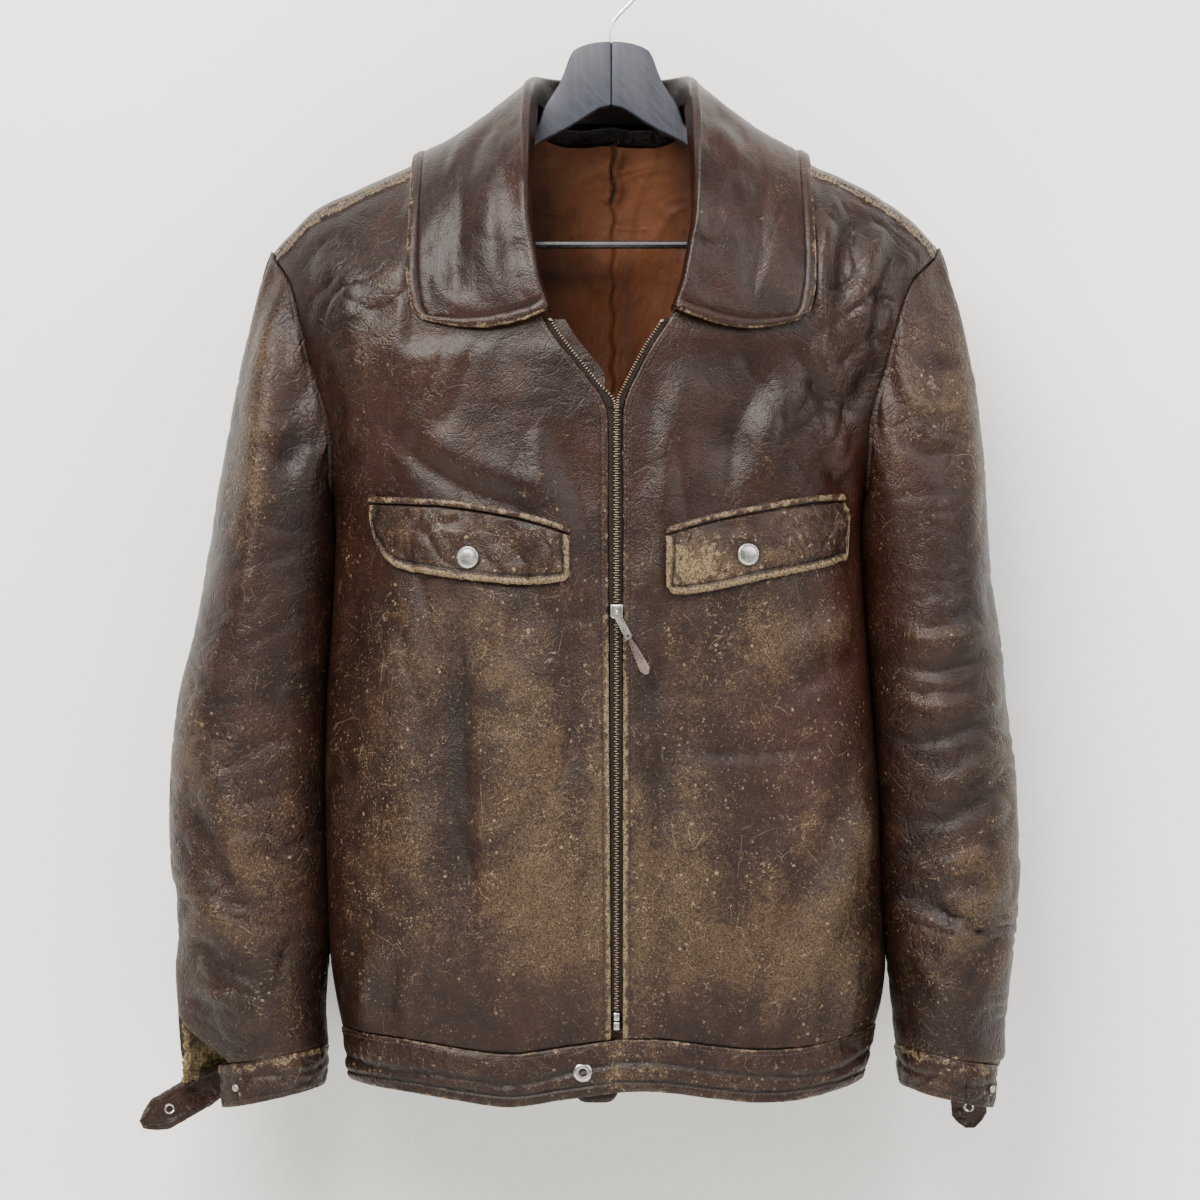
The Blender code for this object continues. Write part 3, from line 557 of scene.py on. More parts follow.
def below(grid):
    """Rows of seam allowance that run down behind the waistband."""
    inward = -grid_normals(grid)[-1]
    return [grid[-1] + inward * deep - np.array([0, 0, down]) for deep, down in PANEL_HEM]


def lengthened(grid, marks, first=(), last=()):
    """The grid with rows of seam allowance before and after, and its marks with it."""
    for key, value in marks.items():
        value = np.broadcast_to(value, grid.shape[:2])
        marks[key] = np.concatenate([np.repeat(value[:1], len(first), axis=0), value,
                                     np.repeat(value[-1:], len(last), axis=0)])
    return np.concatenate([row[None] for row in first] + [grid] + [row[None] for row in last])


def crowded(count, edge=0.0016, length=0.2):
    """Shares from 0 to 1, even but with close steps beside both ends."""
    even = np.linspace(0, 1, count)
    near = np.array([0, 0.25, 0.55, 1.0]) * edge / length
    inner = even[(even > near[-1] * 1.4) & (even < 1 - near[-1] * 1.4)]
    return np.concatenate([near, inner, 1 - near[::-1]])


def rimmed(count, length, reach=0.0092, fine=0.0008):
    """Shares from 0 to 1 with fine steps over the rims at both ends."""
    near = np.arange(0, reach, fine) / length
    middle = np.linspace(near[-1], 1 - near[-1], count)[1:-1]
    return np.concatenate([near, middle, 1 - near[::-1]])


# Materials, all made of nodes on object coordinates
class Finish:
    """A material whose nodes are added one at a time."""

    def __init__(self, name):
        self.made = bpy.data.materials.new(name)
        self.made.use_nodes = True
        self.tree = self.made.node_tree
        self.shader = self.tree.nodes["Principled BSDF"]
        self.place = self.node("TexCoord").outputs["Object"]

    def node(self, kind, inputs=None, **settings):
        new = self.tree.nodes.new("ShaderNode" + kind)
        for key, value in settings.items():
            setattr(new, key, value)
        for key, value in (inputs or {}).items():
            self.feed(new.inputs[key], value)
        return new

    def feed(self, socket, value):
        if isinstance(value, bpy.types.NodeSocket):
            self.tree.links.new(value, socket)
        else:
            socket.default_value = value

    def moved(self, stretch=(1, 1, 1), turn=(0, 0, 0), shift=(0, 0, 0)):
        """Coordinates turned first, then stretched and shifted."""
        place = self.place
        if turn != (0, 0, 0):
            place = self.node("Mapping", {"Vector": place, "Rotation": turn}).outputs["Vector"]
        node = self.node("Mapping", {"Vector": place, "Location": shift, "Scale": stretch})
        return node.outputs["Vector"]

    def noise(self, size, detail=3.0, rough=0.5, place=None, distort=0.0):
        node = self.node("TexNoise", {"Vector": place or self.place, "Scale": 1 / size,
                                      "Detail": detail, "Roughness": rough, "Distortion": distort})
        return node.outputs["Fac"]

    def cells(self, size, feature="F1", place=None):
        node = self.node("TexVoronoi", {"Vector": place or self.place, "Scale": 1 / size},
                         feature=feature)
        return node.outputs["Distance"]

    def warped(self, size, amount):
        """Coordinates bent by noise of this size, in metres."""
        noise = self.node("TexNoise", {"Vector": self.place, "Scale": 1 / size, "Detail": 1.0})
        centred = self.node("VectorMath", {0: noise.outputs["Color"], 1: (0.5, 0.5, 0.5)},
                            operation="SUBTRACT").outputs[0]
        return self.node("VectorMath", {0: centred, 1: (amount,) * 3, 2: self.place},
                         operation="MULTIPLY_ADD").outputs[0]

    def sum(self, operation, a, b, c=None, clamp=False):
        inputs = {0: a, 1: b}
        if c is not None:
            inputs[2] = c
        return self.node("Math", inputs, operation=operation, use_clamp=clamp).outputs[0]

    def add(self, first, *others):
        return reduce(lambda a, b: self.sum("ADD", a, b), others, first)

    def times(self, first, *others):
        return reduce(lambda a, b: self.sum("MULTIPLY", a, b), others, first)

    def swing(self, noise, amount):
        """Noise centred on zero with this full swing."""
        return self.sum("MULTIPLY_ADD", noise, amount, -amount / 2)

    def lines(self, noise, width):
        """1 along the lines where a noise crosses its middle."""
        return self.ramp(self.sum("ABSOLUTE", self.swing(noise, 1.0), 0.0), width, 0.0)

    def ramp(self, value, low, high, first=0.0, last=1.0):
        node = self.node("MapRange", {"Value": value, "From Min": low, "From Max": high,
                                      "To Min": first, "To Max": last},
                         interpolation_type="SMOOTHSTEP")
        return node.outputs["Result"]

    def blend(self, a, b, share):
        node = self.node("Mix", data_type="RGBA")
        self.feed(node.inputs["Factor"], share)
        for socket, value in ((node.inputs[6], a), (node.inputs[7], b)):
            self.feed(socket, value if isinstance(value, bpy.types.NodeSocket) else (*value, 1))
        return node.outputs[2]

    def mark(self, name):
        return self.node("Attribute", attribute_name=name).outputs["Fac"]

    def bump(self, height, distance, under=None):
        inputs = {"Height": height, "Distance": distance, "Strength": 1.0}
        if under is not None:
            inputs["Normal"] = under
        return self.node("Bump", inputs).outputs["Normal"]

    def finish(self, color=None, rough=None, normal=None, **sockets):
        values = {"Base Color": color, "Roughness": rough, "Normal": normal}
        for key, value in values.items():
            if value is not None:
                self.feed(self.shader.inputs[key], value)
        for key, value in sockets.items():
            self.shader.inputs[key.replace("_", " ")].default_value = value
        return self.made


def leather_finish(name, hide, warm, worn, pale, rough=0.49):
    """Worn leather: rub, shine, crease and tint are read from the mesh."""
    f = Finish(name)
    rub, shine, crease, tint, dark, bare = (
        f.mark(n) for n in ("rub", "shine", "crease", "tint", "dark", "bare"))
    far, mid, near = f.warped(0.045, 0.016), f.warped(0.020, 0.0028), f.warped(0.004, 0.0022)
    broad = f.noise(0.085, 1.0)
    middle = f.noise(0.026, 4.0, 0.66, far)
    fine = f.noise(0.0030, 3.0, 0.75)
    drift = f.noise(0.014, 3.0, 0.6, f.moved(shift=(0.31, 0.17, 0.43)))
    cloud = f.add(f.swing(middle, 0.80), f.swing(fine, 1.25), f.swing(broad, 0.40))
    worn_off = f.ramp(f.add(rub, cloud), 0.40, 0.80)
    thin = f.ramp(f.add(rub, f.swing(drift, 0.8)), 0.05, 0.95)

    # Hairline scratches: straight ones in three directions, then a broken net
    lines = []
    for turn, shift in ((0.4, 0.0), (-0.9, 0.37), (1.4, 0.71)):
        place = f.moved((22, 22, 460), (0, turn, 0), (shift, shift, 0))
        streak = f.node("TexNoise", {"Vector": place, "Scale": 1.0, "Detail": 1.0,
                                     "Distortion": 0.15}).outputs["Fac"]
        some = f.ramp(f.noise(0.018, 1.0, 0.5, f.moved(shift=(shift, 0.2, turn))), 0.59, 0.68, 0, 0.7)
        lines.append(f.times(f.lines(streak, 0.009), some))
    for size, low in ((0.030, 0.54), (0.014, 0.60)):
        net = f.ramp(f.cells(size, "DISTANCE_TO_EDGE", mid), 0.010, 0.002)
        some = f.ramp(f.noise(size * 0.6, 2.0, 0.6, f.moved(shift=(size, 0.5, 0.1))), low, low + 0.06)
        lines.append(f.times(net, f.times(some, 0.55)))
    # Flakes in loose clusters
    for size, place in ((0.0026, 0.21), (0.0012, 0.63)):
        flake = f.ramp(f.noise(size, 2.0, 0.6, f.moved(shift=(place, 0.4, place))), 0.60, 0.68)
        some = f.ramp(f.noise(0.022, 3.0, 0.65, f.moved(shift=(0.7, place, 0.3))), 0.50, 0.64)
        lines.append(f.times(flake, some))
    # Pale specks where the finish has chipped
    for size in (0.0085, 0.0042, 0.0022):
        speck = f.ramp(f.cells(size, place=near), 0.17, 0.09)
        lines.append(f.times(speck, f.ramp(f.noise(size * 3.4, 1.0), 0.51, 0.60)))
    chips = reduce(lambda a, b: f.sum("MAXIMUM", a, b), lines)

    pores = f.cells(0.00115, place=near)
    tops = f.ramp(pores, 0.66, 0.14, 0.45, 1.30)
    color = f.blend(hide, warm, f.ramp(f.add(middle, f.swing(broad, 0.8)), 0.30, 0.75))
    color = f.blend(color, RED_HIDE, tint)
    color = f.blend(color, worn, f.times(worn_off, tops, 0.56))
    color = f.blend(color, worn, f.times(thin, tops, 0.20))
    color = f.blend(color, pale, f.times(chips, f.ramp(rub, 0.0, 0.45, 0.05, 0.66)))
    notch = f.noise(0.0058, 1.0, 0.6, f.moved(shift=(0.6, 0.1, 0.8)))
    patchy = f.add(f.swing(fine, 1.0), f.swing(drift, 0.9), f.swing(notch, 1.1))
    scraped = f.ramp(f.add(bare, patchy), 0.38, 0.62)
    color = f.blend(color, BARE, f.times(scraped, f.ramp(pores, 0.70, 0.25, 0.35, 0.85)))
    color = f.blend(color, (0.004, 0.002, 0.002), f.ramp(pores, 0.42, 0.85, 0.0, 0.55))
    # The dark mark blends the colour towards near black: painted shade, which the pieces lay in
    # hollows, grooves and under other parts.
    color = f.blend(color, (0.0035, 0.0018, 0.0014), dark)
    dull = f.add(f.times(worn_off, 0.14), f.swing(fine, 0.14))
    gloss = f.sum("MULTIPLY_ADD", shine, -0.15, rough)
    roughness = f.sum("ADD", gloss, dull, clamp=True)

    # Relief: long curved creases, short ones between them, then the grain
    long = f.lines(f.noise(0.024, 2.0, 0.55, far, 0.6), 0.035)
    short = f.lines(f.noise(0.0085, 2.0, 0.6, None, 0.8), 0.06)
    normal = f.bump(f.noise(0.020, 1.0), 0.0009)
    normal = f.bump(f.times(f.add(long, f.times(short, 0.45)), crease), -0.00034, normal)
    normal = f.bump(f.noise(0.0032, 2.0, 0.6), 0.00020, normal)
    grit = f.times(pores, f.ramp(shine, 0.0, 1.0, 1.0, 0.50))
    normal = f.bump(grit, -0.00028, normal)
    return f.finish(color, roughness, normal, Specular_IOR_Level=0.235, Coat_Weight=0.03,
                    Coat_Roughness=0.20)


def metal_finish(name, bright, dirt, rough, wear=0.5):
    f = Finish(name)
    # Grime on the metal in random patches: the metal's own colour.
    grime = f.ramp(f.noise(0.004, 4.0, 0.65), 0.42, 0.72, 0.0, wear)
    color = f.blend(bright, dirt, grime)
    roughness = f.add(f.times(grime, 0.35), f.ramp(f.noise(0.003, 3.0), 0.3, 0.7, rough, rough + 0.10))
    normal = f.bump(f.noise(0.004, 2.0), 0.00005)
    f.feed(f.shader.inputs["Metallic"], f.sum("SUBTRACT", 1.0, f.times(grime, 0.5)))
    return f.finish(color, roughness, normal)


def lining_finish():
    """Brown satin: a fine upright weave, soft stains and worn folds."""
    f = Finish("brown_satin")
    fine = f.noise(1.0, 2.0, 0.6, f.moved((2600, 2600, 260)))
    cross = f.noise(1.0, 2.0, 0.5, f.moved((300, 300, 1900)))
    stain = f.noise(0.05, 4.0, 0.6)
    # Painted light and shade: the lining is lighter towards the top, where light reaches in, and darker
    # lower down inside the coat.
    high = f.node("SeparateXYZ", {0: f.place}).outputs["Z"]
    fall = f.ramp(high, -0.34, -0.13)
    color = f.blend((0.068, 0.0180, 0.0060), (0.132, 0.048, 0.0205), fall)
    color = f.blend(color, (0.050, 0.012, 0.003), f.ramp(stain, 0.42, 0.66, 0.0, 0.75))
    color = f.blend(color, (0.170, 0.066, 0.028), f.ramp(fine, 0.48, 0.72, 0.0, 0.42))
    # Painted shade from the dark mark.
    color = f.blend(color, (0.012, 0.006, 0.005), f.mark("dark"))
    crease = f.noise(0.012, 3.0, 0.6, f.moved((1, 1, 0.35)))
    normal = f.bump(crease, 0.0018)
    normal = f.bump(f.add(fine, cross), 0.00005, normal)
    return f.finish(color, f.ramp(stain, 0.3, 0.7, 0.46, 0.62), normal, Sheen_Weight=0.06,
                    Specular_IOR_Level=0.22)


def cloth_finish(name, dark, light, thread):
    f = Finish(name)
    weave = f.sum("MULTIPLY", f.noise(1.0, 1.0, 0.5, f.moved((1 / thread, 1 / thread, 0.2 / thread))),
                  f.noise(1.0, 1.0, 0.5, f.moved((0.2 / thread, 0.2 / thread, 1 / thread))))
    color = f.blend(dark, light, f.ramp(weave, 0.12, 0.42))
    color = f.blend(color, dark, f.ramp(f.noise(0.02, 3.0), 0.45, 0.7, 0.0, 0.5))
    return f.finish(color, 0.85, f.bump(weave, 0.00025), Sheen_Weight=0.08,
                    Specular_IOR_Level=0.2)


def wood_finish():
    """Grey-black stained wood with faint slanting grain."""
    f = Finish("stained_wood")
    grain = f.noise(1.0, 4.0, 0.6, f.moved((420, 60, 60), (0, 0.75, 0)), 0.3)
    broad = f.noise(0.035, 3.0)
    color = f.blend((0.021, 0.0235, 0.035), (0.029, 0.033, 0.048), f.ramp(grain, 0.35, 0.72))
    color = f.blend(color, (0.014, 0.015, 0.021), f.ramp(broad, 0.5, 0.75, 0.0, 0.4))
    # A dark line down the middle is the joint between the halves; the small dark disc at the pin is a
    # painted hole, painted shade in place of its depth.
    across = f.sum("ABSOLUTE", f.node("SeparateXYZ", {0: f.place}).outputs["X"], 0.0)
    pin = f.node("VectorMath", {0: f.place, 1: (0, -0.007, -0.077)}, operation="DISTANCE")
    joint = f.sum("MAXIMUM", f.ramp(across, 0.0006, 0.0001, 0.0, 0.8),
                  f.ramp(pin.outputs["Value"], 0.0013, 0.0008))
    color = f.blend(color, (0.004, 0.004, 0.005), joint)
    normal = f.bump(grain, 0.00012)
    return f.finish(color, f.ramp(grain, 0.3, 0.7, 0.40, 0.55), normal)


def bar_finish():
    f = Finish("black_bar")
    scuff = f.noise(0.006, 4.0, 0.6)
    color = f.blend((0.008, 0.008, 0.009), (0.030, 0.030, 0.033), f.ramp(scuff, 0.55, 0.75))
    return f.finish(color, f.ramp(scuff, 0.3, 0.7, 0.22, 0.38), f.bump(scuff, 0.00004))


def thread_finish(name, dark, light):
    f = Finish(name)
    twist = f.noise(0.0006, 2.0)
    color = f.blend(dark, light, f.ramp(twist, 0.4, 0.7))
    return f.finish(color, 0.7, f.bump(twist, 0.0001))


HIDE = (0.0098, 0.0029, 0.0017)
WARM = (0.0225, 0.0076, 0.0040)
RED_HIDE = (0.042, 0.0115, 0.0065)
WORN = (0.098, 0.064, 0.032)
PALE = (0.26, 0.190, 0.115)
BARE = (0.200, 0.145, 0.080)
LOOKS = {}


def chosen():
    """The user's settings."""
    return bpy.context.scene.coat


# Other finishes: the maker and what it is given
MAKERS = {
    "strip": (leather_finish, "strip_leather", (0.10, 0.072, 0.066), (0.16, 0.12, 0.11),
              (0.24, 0.19, 0.16), PALE, 0.5),
    "lining": (lining_finish,),
    "tape": (cloth_finish, "zip_cloth", (0.005, 0.003, 0.0025), (0.015, 0.010, 0.008), 0.0006),
    "pile": (cloth_finish, "pile_cloth", (0.050, 0.036, 0.014), (0.200, 0.150, 0.070), 0.0014),
    "brass": (metal_finish, "aged_brass", (0.20, 0.160, 0.105), (0.040, 0.028, 0.017), 0.38, 0.5),
    "steel": (metal_finish, "nickel", (0.46, 0.45, 0.43), (0.16, 0.14, 0.12), 0.22, 0.40),
    "stud": (metal_finish, "dull_nickel", (0.34, 0.32, 0.29), (0.07, 0.06, 0.05), 0.34, 0.5),
    "wire": (metal_finish, "hook_wire", (0.62, 0.62, 0.63), (0.30, 0.30, 0.30), 0.22, 0.2),
    "wood": (wood_finish,),
    "bar": (bar_finish,),
    "thread": (thread_finish, "dark_thread", (0.014, 0.007, 0.005), (0.060, 0.033, 0.022)),
    "frayed": (thread_finish, "frayed_thread", (0.060, 0.020, 0.008), (0.220, 0.100, 0.050)),
}


def look(name):
    """A finish by name, made when first asked for."""
    if name not in LOOKS:
        leather = (leather_finish, "worn_brown_leather", tuple(chosen().hide), WARM,
                   tuple(chosen().worn), PALE)
        maker, *given = leather if name == "leather" else MAKERS[name]
        LOOKS[name] = maker(*given)
    return LOOKS[name]


# Folds and wear of the body, in millimetres: height, width, lean and the line
FRONT_FOLDS = [
    # soft drape from the right shoulder and over the pocket
    (3, 16, 0.2, [(-58, -330), (-50, -372), (-38, -420), (-30, -480)]),
    (2.2, 13, -0.2, [(-128, -352), (-90, -378), (-46, -392)]),
    (-1.8, 9, 0, [(-170, -330), (-140, -362), (-96, -388), (-52, -400)]),
    (1.8, 12, 0, [(-196, -215), (-186, -255), (-178, -300), (-176, -360)]),
    (-2, 10, 0.3, [(-108, -470), (-106, -560), (-102, -640), (-98, -720)]),
    (2.2, 22, 0.2, [(-148, -480), (-150, -560), (-140, -650), (-142, -740)]),
    (2, 20, 0, [(-60, -500), (-66, -590), (-62, -700)]),
    (-1.6, 11, 0, [(-30, -480), (-26, -560), (-22, -650), (-24, -740)]),
    # left side: folds that radiate from the shoulder seam
    (3, 9, 0.2, [(160, -176), (150, -215), (148, -262), (153, -300)]),
    (-2.2, 6, 0, [(176, -182), (166, -216), (164, -256)]),
    (2.6, 7, 0.2, [(196, -196), (184, -226), (178, -262), (182, -300)]),
    (-2, 5, 0, [(206, -212), (196, -240), (190, -276)]),
    (2, 8, 0, [(140, -282), (154, -306), (174, -318)]),
    (-1.8, 6, 0, [(136, -300), (152, -324), (176, -336)]),
    (1.8, 9, 0, [(150, -345), (166, -362), (186, -368)]),
    (-1.6, 6, 0, [(148, -372), (166, -384), (190, -384)]),
    (2.6, 17, -0.2, [(52, -300), (44, -350), (36, -410), (34, -470)]),
    (-1.6, 10, 0, [(110, -300), (88, -345), (78, -392)]),
    (1.8, 12, 0, [(134, -310), (114, -350), (104, -390)]),
    # left belly
    (-1.4, 4, 0, [(56, -572), (90, -574), (124, -572), (152, -568)]),
    (1.8, 12, 0.3, [(102, -516), (140, -494), (184, -472)]),
    (-1.5, 8, 0, [(112, -540), (150, -516), (192, -498)]),
    (3, 16, 0.3, [(192, -560), (180, -620), (156, -680), (130, -730)]),
    (-1.8, 12, 0, [(176, -560), (160, -620), (136, -672), (112, -720)]),
    (2.2, 20, 0, [(58, -560), (66, -640), (58, -740)]),
    (-1.6, 10, 0, [(30, -480), (32, -560), (36, -640), (34, -730)]),
    # gathers above the waistband
    (1.6, 7, 0, [(-176, -766), (-172, -730), (-166, -696)]),
    (-1.6, 5, 0, [(-158, -772), (-156, -742), (-150, -716)]),
    (1.4, 6, 0, [(168, -768), (170, -738), (176, -706)]),
    (-1.4, 5, 0, [(150, -772), (150, -744), (154, -716)]),
]
BACK_FOLDS = [
    (2.8, 18, 0.2, [(-190, -250), (-150, -300), (-100, -330), (-40, -345)]),
    (-2, 12, 0, [(-180, -300), (-140, -345), (-90, -370)]),
    (2.8, 18, -0.2, [(186, -245), (150, -290), (105, -325), (50, -350)]),
    (-2, 12, 0, [(182, -290), (140, -338), (95, -372)]),
    (2.4, 20, 0, [(-120, -430), (-128, -520), (-120, -640), (-126, -750)]),
    (-1.8, 12, 0.2, [(-70, -460), (-66, -560), (-72, -680), (-68, -750)]),
    (2.4, 20, 0, [(124, -440), (118, -540), (126, -650), (120, -750)]),
    (-1.8, 12, -0.2, [(60, -450), (66, -570), (60, -700)]),
    (1.6, 10, 0, [(-20, -520), (10, -560), (30, -620)]),
    (-1.4, 6, 0, [(-170, -600), (-130, -612), (-90, -606)]),
    (-1.4, 6, 0, [(90, -640), (130, -650), (170, -636)]),
    (1.4, 7, 0, [(-150, -766), (-146, -730), (-150, -700)]),
    (1.4, 7, 0, [(146, -768), (150, -735), (144, -700)]),
]
# Patches, in millimetres: x, z, half width, half height, and strength
FRONT_RUB = [
    (-95, -500, 60, 40, 0.30), (-50, -560, 60, 60, 0.26),
    (-120, -610, 70, 80, 0.20), (-60, -700, 60, 60, 0.34),
    (-170, -640, 30, 120, 0.18), (-30, -640, 30, 80, 0.28),
    (75, -520, 60, 50, 0.40), (110, -480, 50, 25, 0.30),
    (40, -620, 40, 60, 0.42), (70, -700, 70, 50, 0.38),
    (150, -640, 40, 80, 0.24), (130, -735, 60, 30, 0.26),
    (100, -590, 60, 50, 0.16),
    (92, -440, 70, 16, 0.20), (-100, -470, 60, 14, 0.20),
    (160, -300, 12, 30, 0.20), (-190, -420, 22, 60, 0.24),
    (20, -700, 10, 80, 0.22), (-8, -640, 8, 120, 0.22),
]
BACK_RUB = [
    (0, -300, 160, 80, 0.16), (-100, -560, 70, 90, 0.26),
    (100, -600, 80, 100, 0.26), (0, -700, 120, 50, 0.26),
    (0, -440, 80, 60, 0.14),
]
FRONT_RED = [(168, -480, 26, 90, 0.62), (120, -560, 60, 50, 0.25),
             (-170, -400, 20, 60, 0.20), (175, -380, 20, 40, 0.35)]
# Painted shade on the fronts: along creases, under the pocket flaps and the collar's leaves, and near
# the shoulders.
FRONT_PAINTED_SHADE = [(-190, -225, 50, 60, 0.22), (150, -200, 50, 40, 0.12),
              (-106, -600, 9, 130, 0.45), (-60, -470, 60, 10, 0.30),
              (20, -520, 12, 60, 0.35), (120, -466, 50, 9, 0.28),
              (165, -620, 10, 80, 0.30), (60, -300, 50, 12, 0.30),
              (-80, -292, 60, 12, 0.35), (36, -400, 8, 60, 0.25)]


def under_collar(x, z):
    """1 where the collar's leaves lie over the fronts."""
    return ease(-0.296, -0.280, z) * (1 - ease(0.138, 0.150, np.abs(x)))


def body_relief(points, turn):
    x, z = points[..., 0], points[..., 2]
    front = turn > 0
    soft = 0.0019 * ripple(points, 0.090, 5, (1, 1, 0.5)) + 0.0003 * ripple(points, 0.030, 8)
    folds = np.where(front, fold_height(x, z, FRONT_FOLDS), fold_height(x, z, BACK_FOLDS))
    armhole = spots(x, z, [(190, -290, 42, 100, 1.0), (-196, -300, 30, 100, 0.6)])
    folds = folds - 0.0019 * crumple(points, 0.024, 21, (1.3, 1, 0.7)) * np.minimum(armhole, 1)
    folds = folds - 0.0007 * crumple(points, 0.050, 31, (1, 1, 0.7))
    half = by_side(BODY, "half", x, z)
    arm = by_side(BODY, "arm", x, z)
    level = ease(0.0, 0.09, 1 - np.abs(x) / half) * (0.25 + 0.75 * ease(0.0, 0.016, arm - np.abs(x)))
    level = level * (0.3 + 0.7 * ease(0.10, 0.6, np.abs(turn)))
    level = level * (1 - 0.85 * np.where(front, under_collar(x, z), 0))
    level = level * (0.35 + 0.65 * ease(0.004, 0.030, np.abs(x - np.where(front, ZIP_X, 9))))
    return (1.5 * soft + 2.1 * folds) * level * chosen().fold_depth


def skin(x, turn, lift=0.0):
    """The body's surface with its folds, lifted outwards."""
    x, turn = np.broadcast_arrays(np.asarray(x, float), np.asarray(turn, float))
    points = body(x, turn)
    return points + normal_at(x, turn) * (body_relief(points, turn) + lift)[..., None]


def skin_at(x, z, lift=0.0):
    """The front's surface at (x, z)."""
    return skin(x, turn_at(np.asarray(x, float), np.asarray(z, float)), lift)


def bent(points, turn):
    """How far each point stands out or in, scaled to a few tenths."""
    return body_relief(points, turn) * 36


def grime(flat, turn):
    """Dirt and missing light in the hollows of the folds."""
    return np.clip(-body_relief(flat, turn) * 75 - 0.10, 0, 0.45)


def edge_rub(grid, edges, width=0.0035, strength=0.6):
    """Wear that fades away from the named edges."""
    return strength * np.exp(-(nearest(margins(grid), edges) / width) ** 2)


def line_at(distance, place, width=0.0011):
    """1 along a line this far inside an edge."""
    return np.exp(-((distance - place) / width) ** 2)


def front_grid(side, rows=236, columns=92):
    sign = SIGN[side]
    turns = SEAM_TURN + 0.012 + (HEM_TURN - SEAM_TURN - 0.012) * crowded(rows, 0.002, 0.62)
    inner = edge_at(turns, side, FRONT_EDGE, side)
    outer = edge_at(turns, side, BODY, "arm_" + side)
    shares = crowded(columns, 0.002, 0.2)
    shares = np.concatenate([[0, 0.0025, 0.0055], np.arange(0.0095, 0.040, 0.0045),
                             shares[shares > 0.042]])
    x = sign * (inner[:, None] + (outer - inner)[:, None] * shares[None, :])
    turn = np.repeat(turns[:, None], len(shares), axis=1)
    flat, grid = body(x, turn), skin(x, turn)
    grid[..., 1] = np.minimum(grid[..., 1], -0.0008)
    if sign < 0:
        flat, grid, turn = flat[:, ::-1], grid[:, ::-1], turn[:, ::-1]
    return flat, grid, turn


FRONT_CUT = {"right": 0.135, "left": 0.130}


def make_fronts():
    """Build both front panels with their folds and wear."""
    for side in SIDES:
        flat, grid, turn = front_grid(side)
        x, z = flat[..., 0], flat[..., 2]
        inner = "last" if side == "right" else "first"
        outer = "first" if side == "right" else "last"
        belly = ease(-0.40, -0.52, z)
        rub = 0.06 + 0.12 * belly + spots(x, z, FRONT_RUB) + bent(flat, turn)
        tops = margins(grid)
        rub = rub + edge_rub(grid, (inner,), 0.0036, 0.30) + edge_rub(grid, (outer,), 0.005, 0.16)
        gathers = np.sin(x * 900 + 3 * np.sin(x * 170)) * np.exp(-tops["top"] / 0.006)
        lift = 0.0010 * line_at(tops["top"], 0.0045, 0.0032) + 0.0003 * gathers
        lift = lift - 0.0004 * line_at(tops[inner], 0.0047) * ease(-0.335, -0.345, z)
        grid = grid + grid_normals(grid) * lift[..., None]
        bare = 0.72 * line_at(tops[inner], 0, 0.0042) * (0.25 + 0.75 * ease(-0.40, -0.56, z))
        bare = bare + 0.70 * line_at(tops["top"], 0.0045, 0.0030) + 0.08 * gathers
        # Dark lines of painted shade in the stitched grooves beside the zip and along the shoulder
        # seam.
        seam = line_at(tops[inner], 0.0047, 0.0007) + line_at(tops["top"], 0.0008, 0.0010)
        shine = 0.80 - 0.60 * ease(-0.38, -0.50, z)
        crease = 0.30 + spots(x, z, [(185, -290, 45, 100, 0.7),
                                     (-190, -300, 30, 110, 0.5),
                                     (-60, -700, 80, 80, 0.25)])
        # The dark mark is painted shade: in the fold hollows, in listed patches, in the seam grooves
        # and towards the armhole edge.
        marks = {"rub": rub, "shine": shine, "crease": crease, "tint": spots(x, z, FRONT_RED),
                 "bare": bare, "dark": grime(flat, turn) + spots(x, z, FRONT_PAINTED_SHADE) + 0.7 * seam
                 + 0.35 * ease(0.030, 0.0, margins(grid)[outer])}
        grid = rolled(grid, (inner,))
        grid = lengthened(grid, marks, (), below(grid))
        cover("front_" + side, grid, marks, flat=(0.250, 0.680),
              rests_on=["hanger_wood_" + side], area=FRONT_CUT[side])


def make_back():
    """Build the back panel."""
    low = np.concatenate([crowded(54, 0.002, 0.18), 1 + np.linspace(0, 1.25, 122)[1:]])
    shares = np.linspace(-1, 1, 170)
    top = BACK_TOP.at("turn", np.abs(shares) * 0.242)[None, :]
    low = low[:, None]
    turn = np.where(low < 1, top + (BACK_LEVEL_TURN - top) * low,
                    BACK_LEVEL_TURN + (-HEM_TURN - BACK_LEVEL_TURN) * (low - 1) / 1.25)
    right = edge_at(turn, "right", BODY, "arm_right")
    left = edge_at(turn, "left", BODY, "arm_left")
    x = shares * np.where(shares < 0, right, left)
    flat, grid = body(x, turn), skin(x, turn)
    grid[..., 1] = np.where(turn < -0.3, np.maximum(grid[..., 1], 0.0008), grid[..., 1])
    flat, grid, turn = flat[:, ::-1], grid[:, ::-1], turn[:, ::-1]
    x, z = flat[..., 0], flat[..., 2]
    rub = 0.16 + spots(x, z, BACK_RUB) + bent(flat, turn) + edge_rub(grid, ("top",), 0.006, 0.5)
    top, neck = margins(grid)["top"], np.abs(x) < 0.07
    # The dark mark is painted shade in the fold hollows, and a painted shadow along the top edge at the
    # neck, under the hanger and collar.
    marks = {"rub": rub, "shine": 0.85 - 0.6 * ease(-0.30, -0.45, z), "crease": 0.35,
             "tint": spots(x, z, [(-100, -500, 80, 100, 0.2)]),
             "bare": 0.6 * line_at(top, 0, 0.006) * ~neck,
             "dark": grime(flat, turn) + 0.95 * line_at(top, 0, 0.03) * neck}
    grid = lengthened(rolled(grid, ("top",)), marks, (), below(grid))
    cover("back", grid, marks, flat=(0.530, 0.720),
          rests_on=["hanger_wood_right", "hanger_wood_left"], area=0.330)


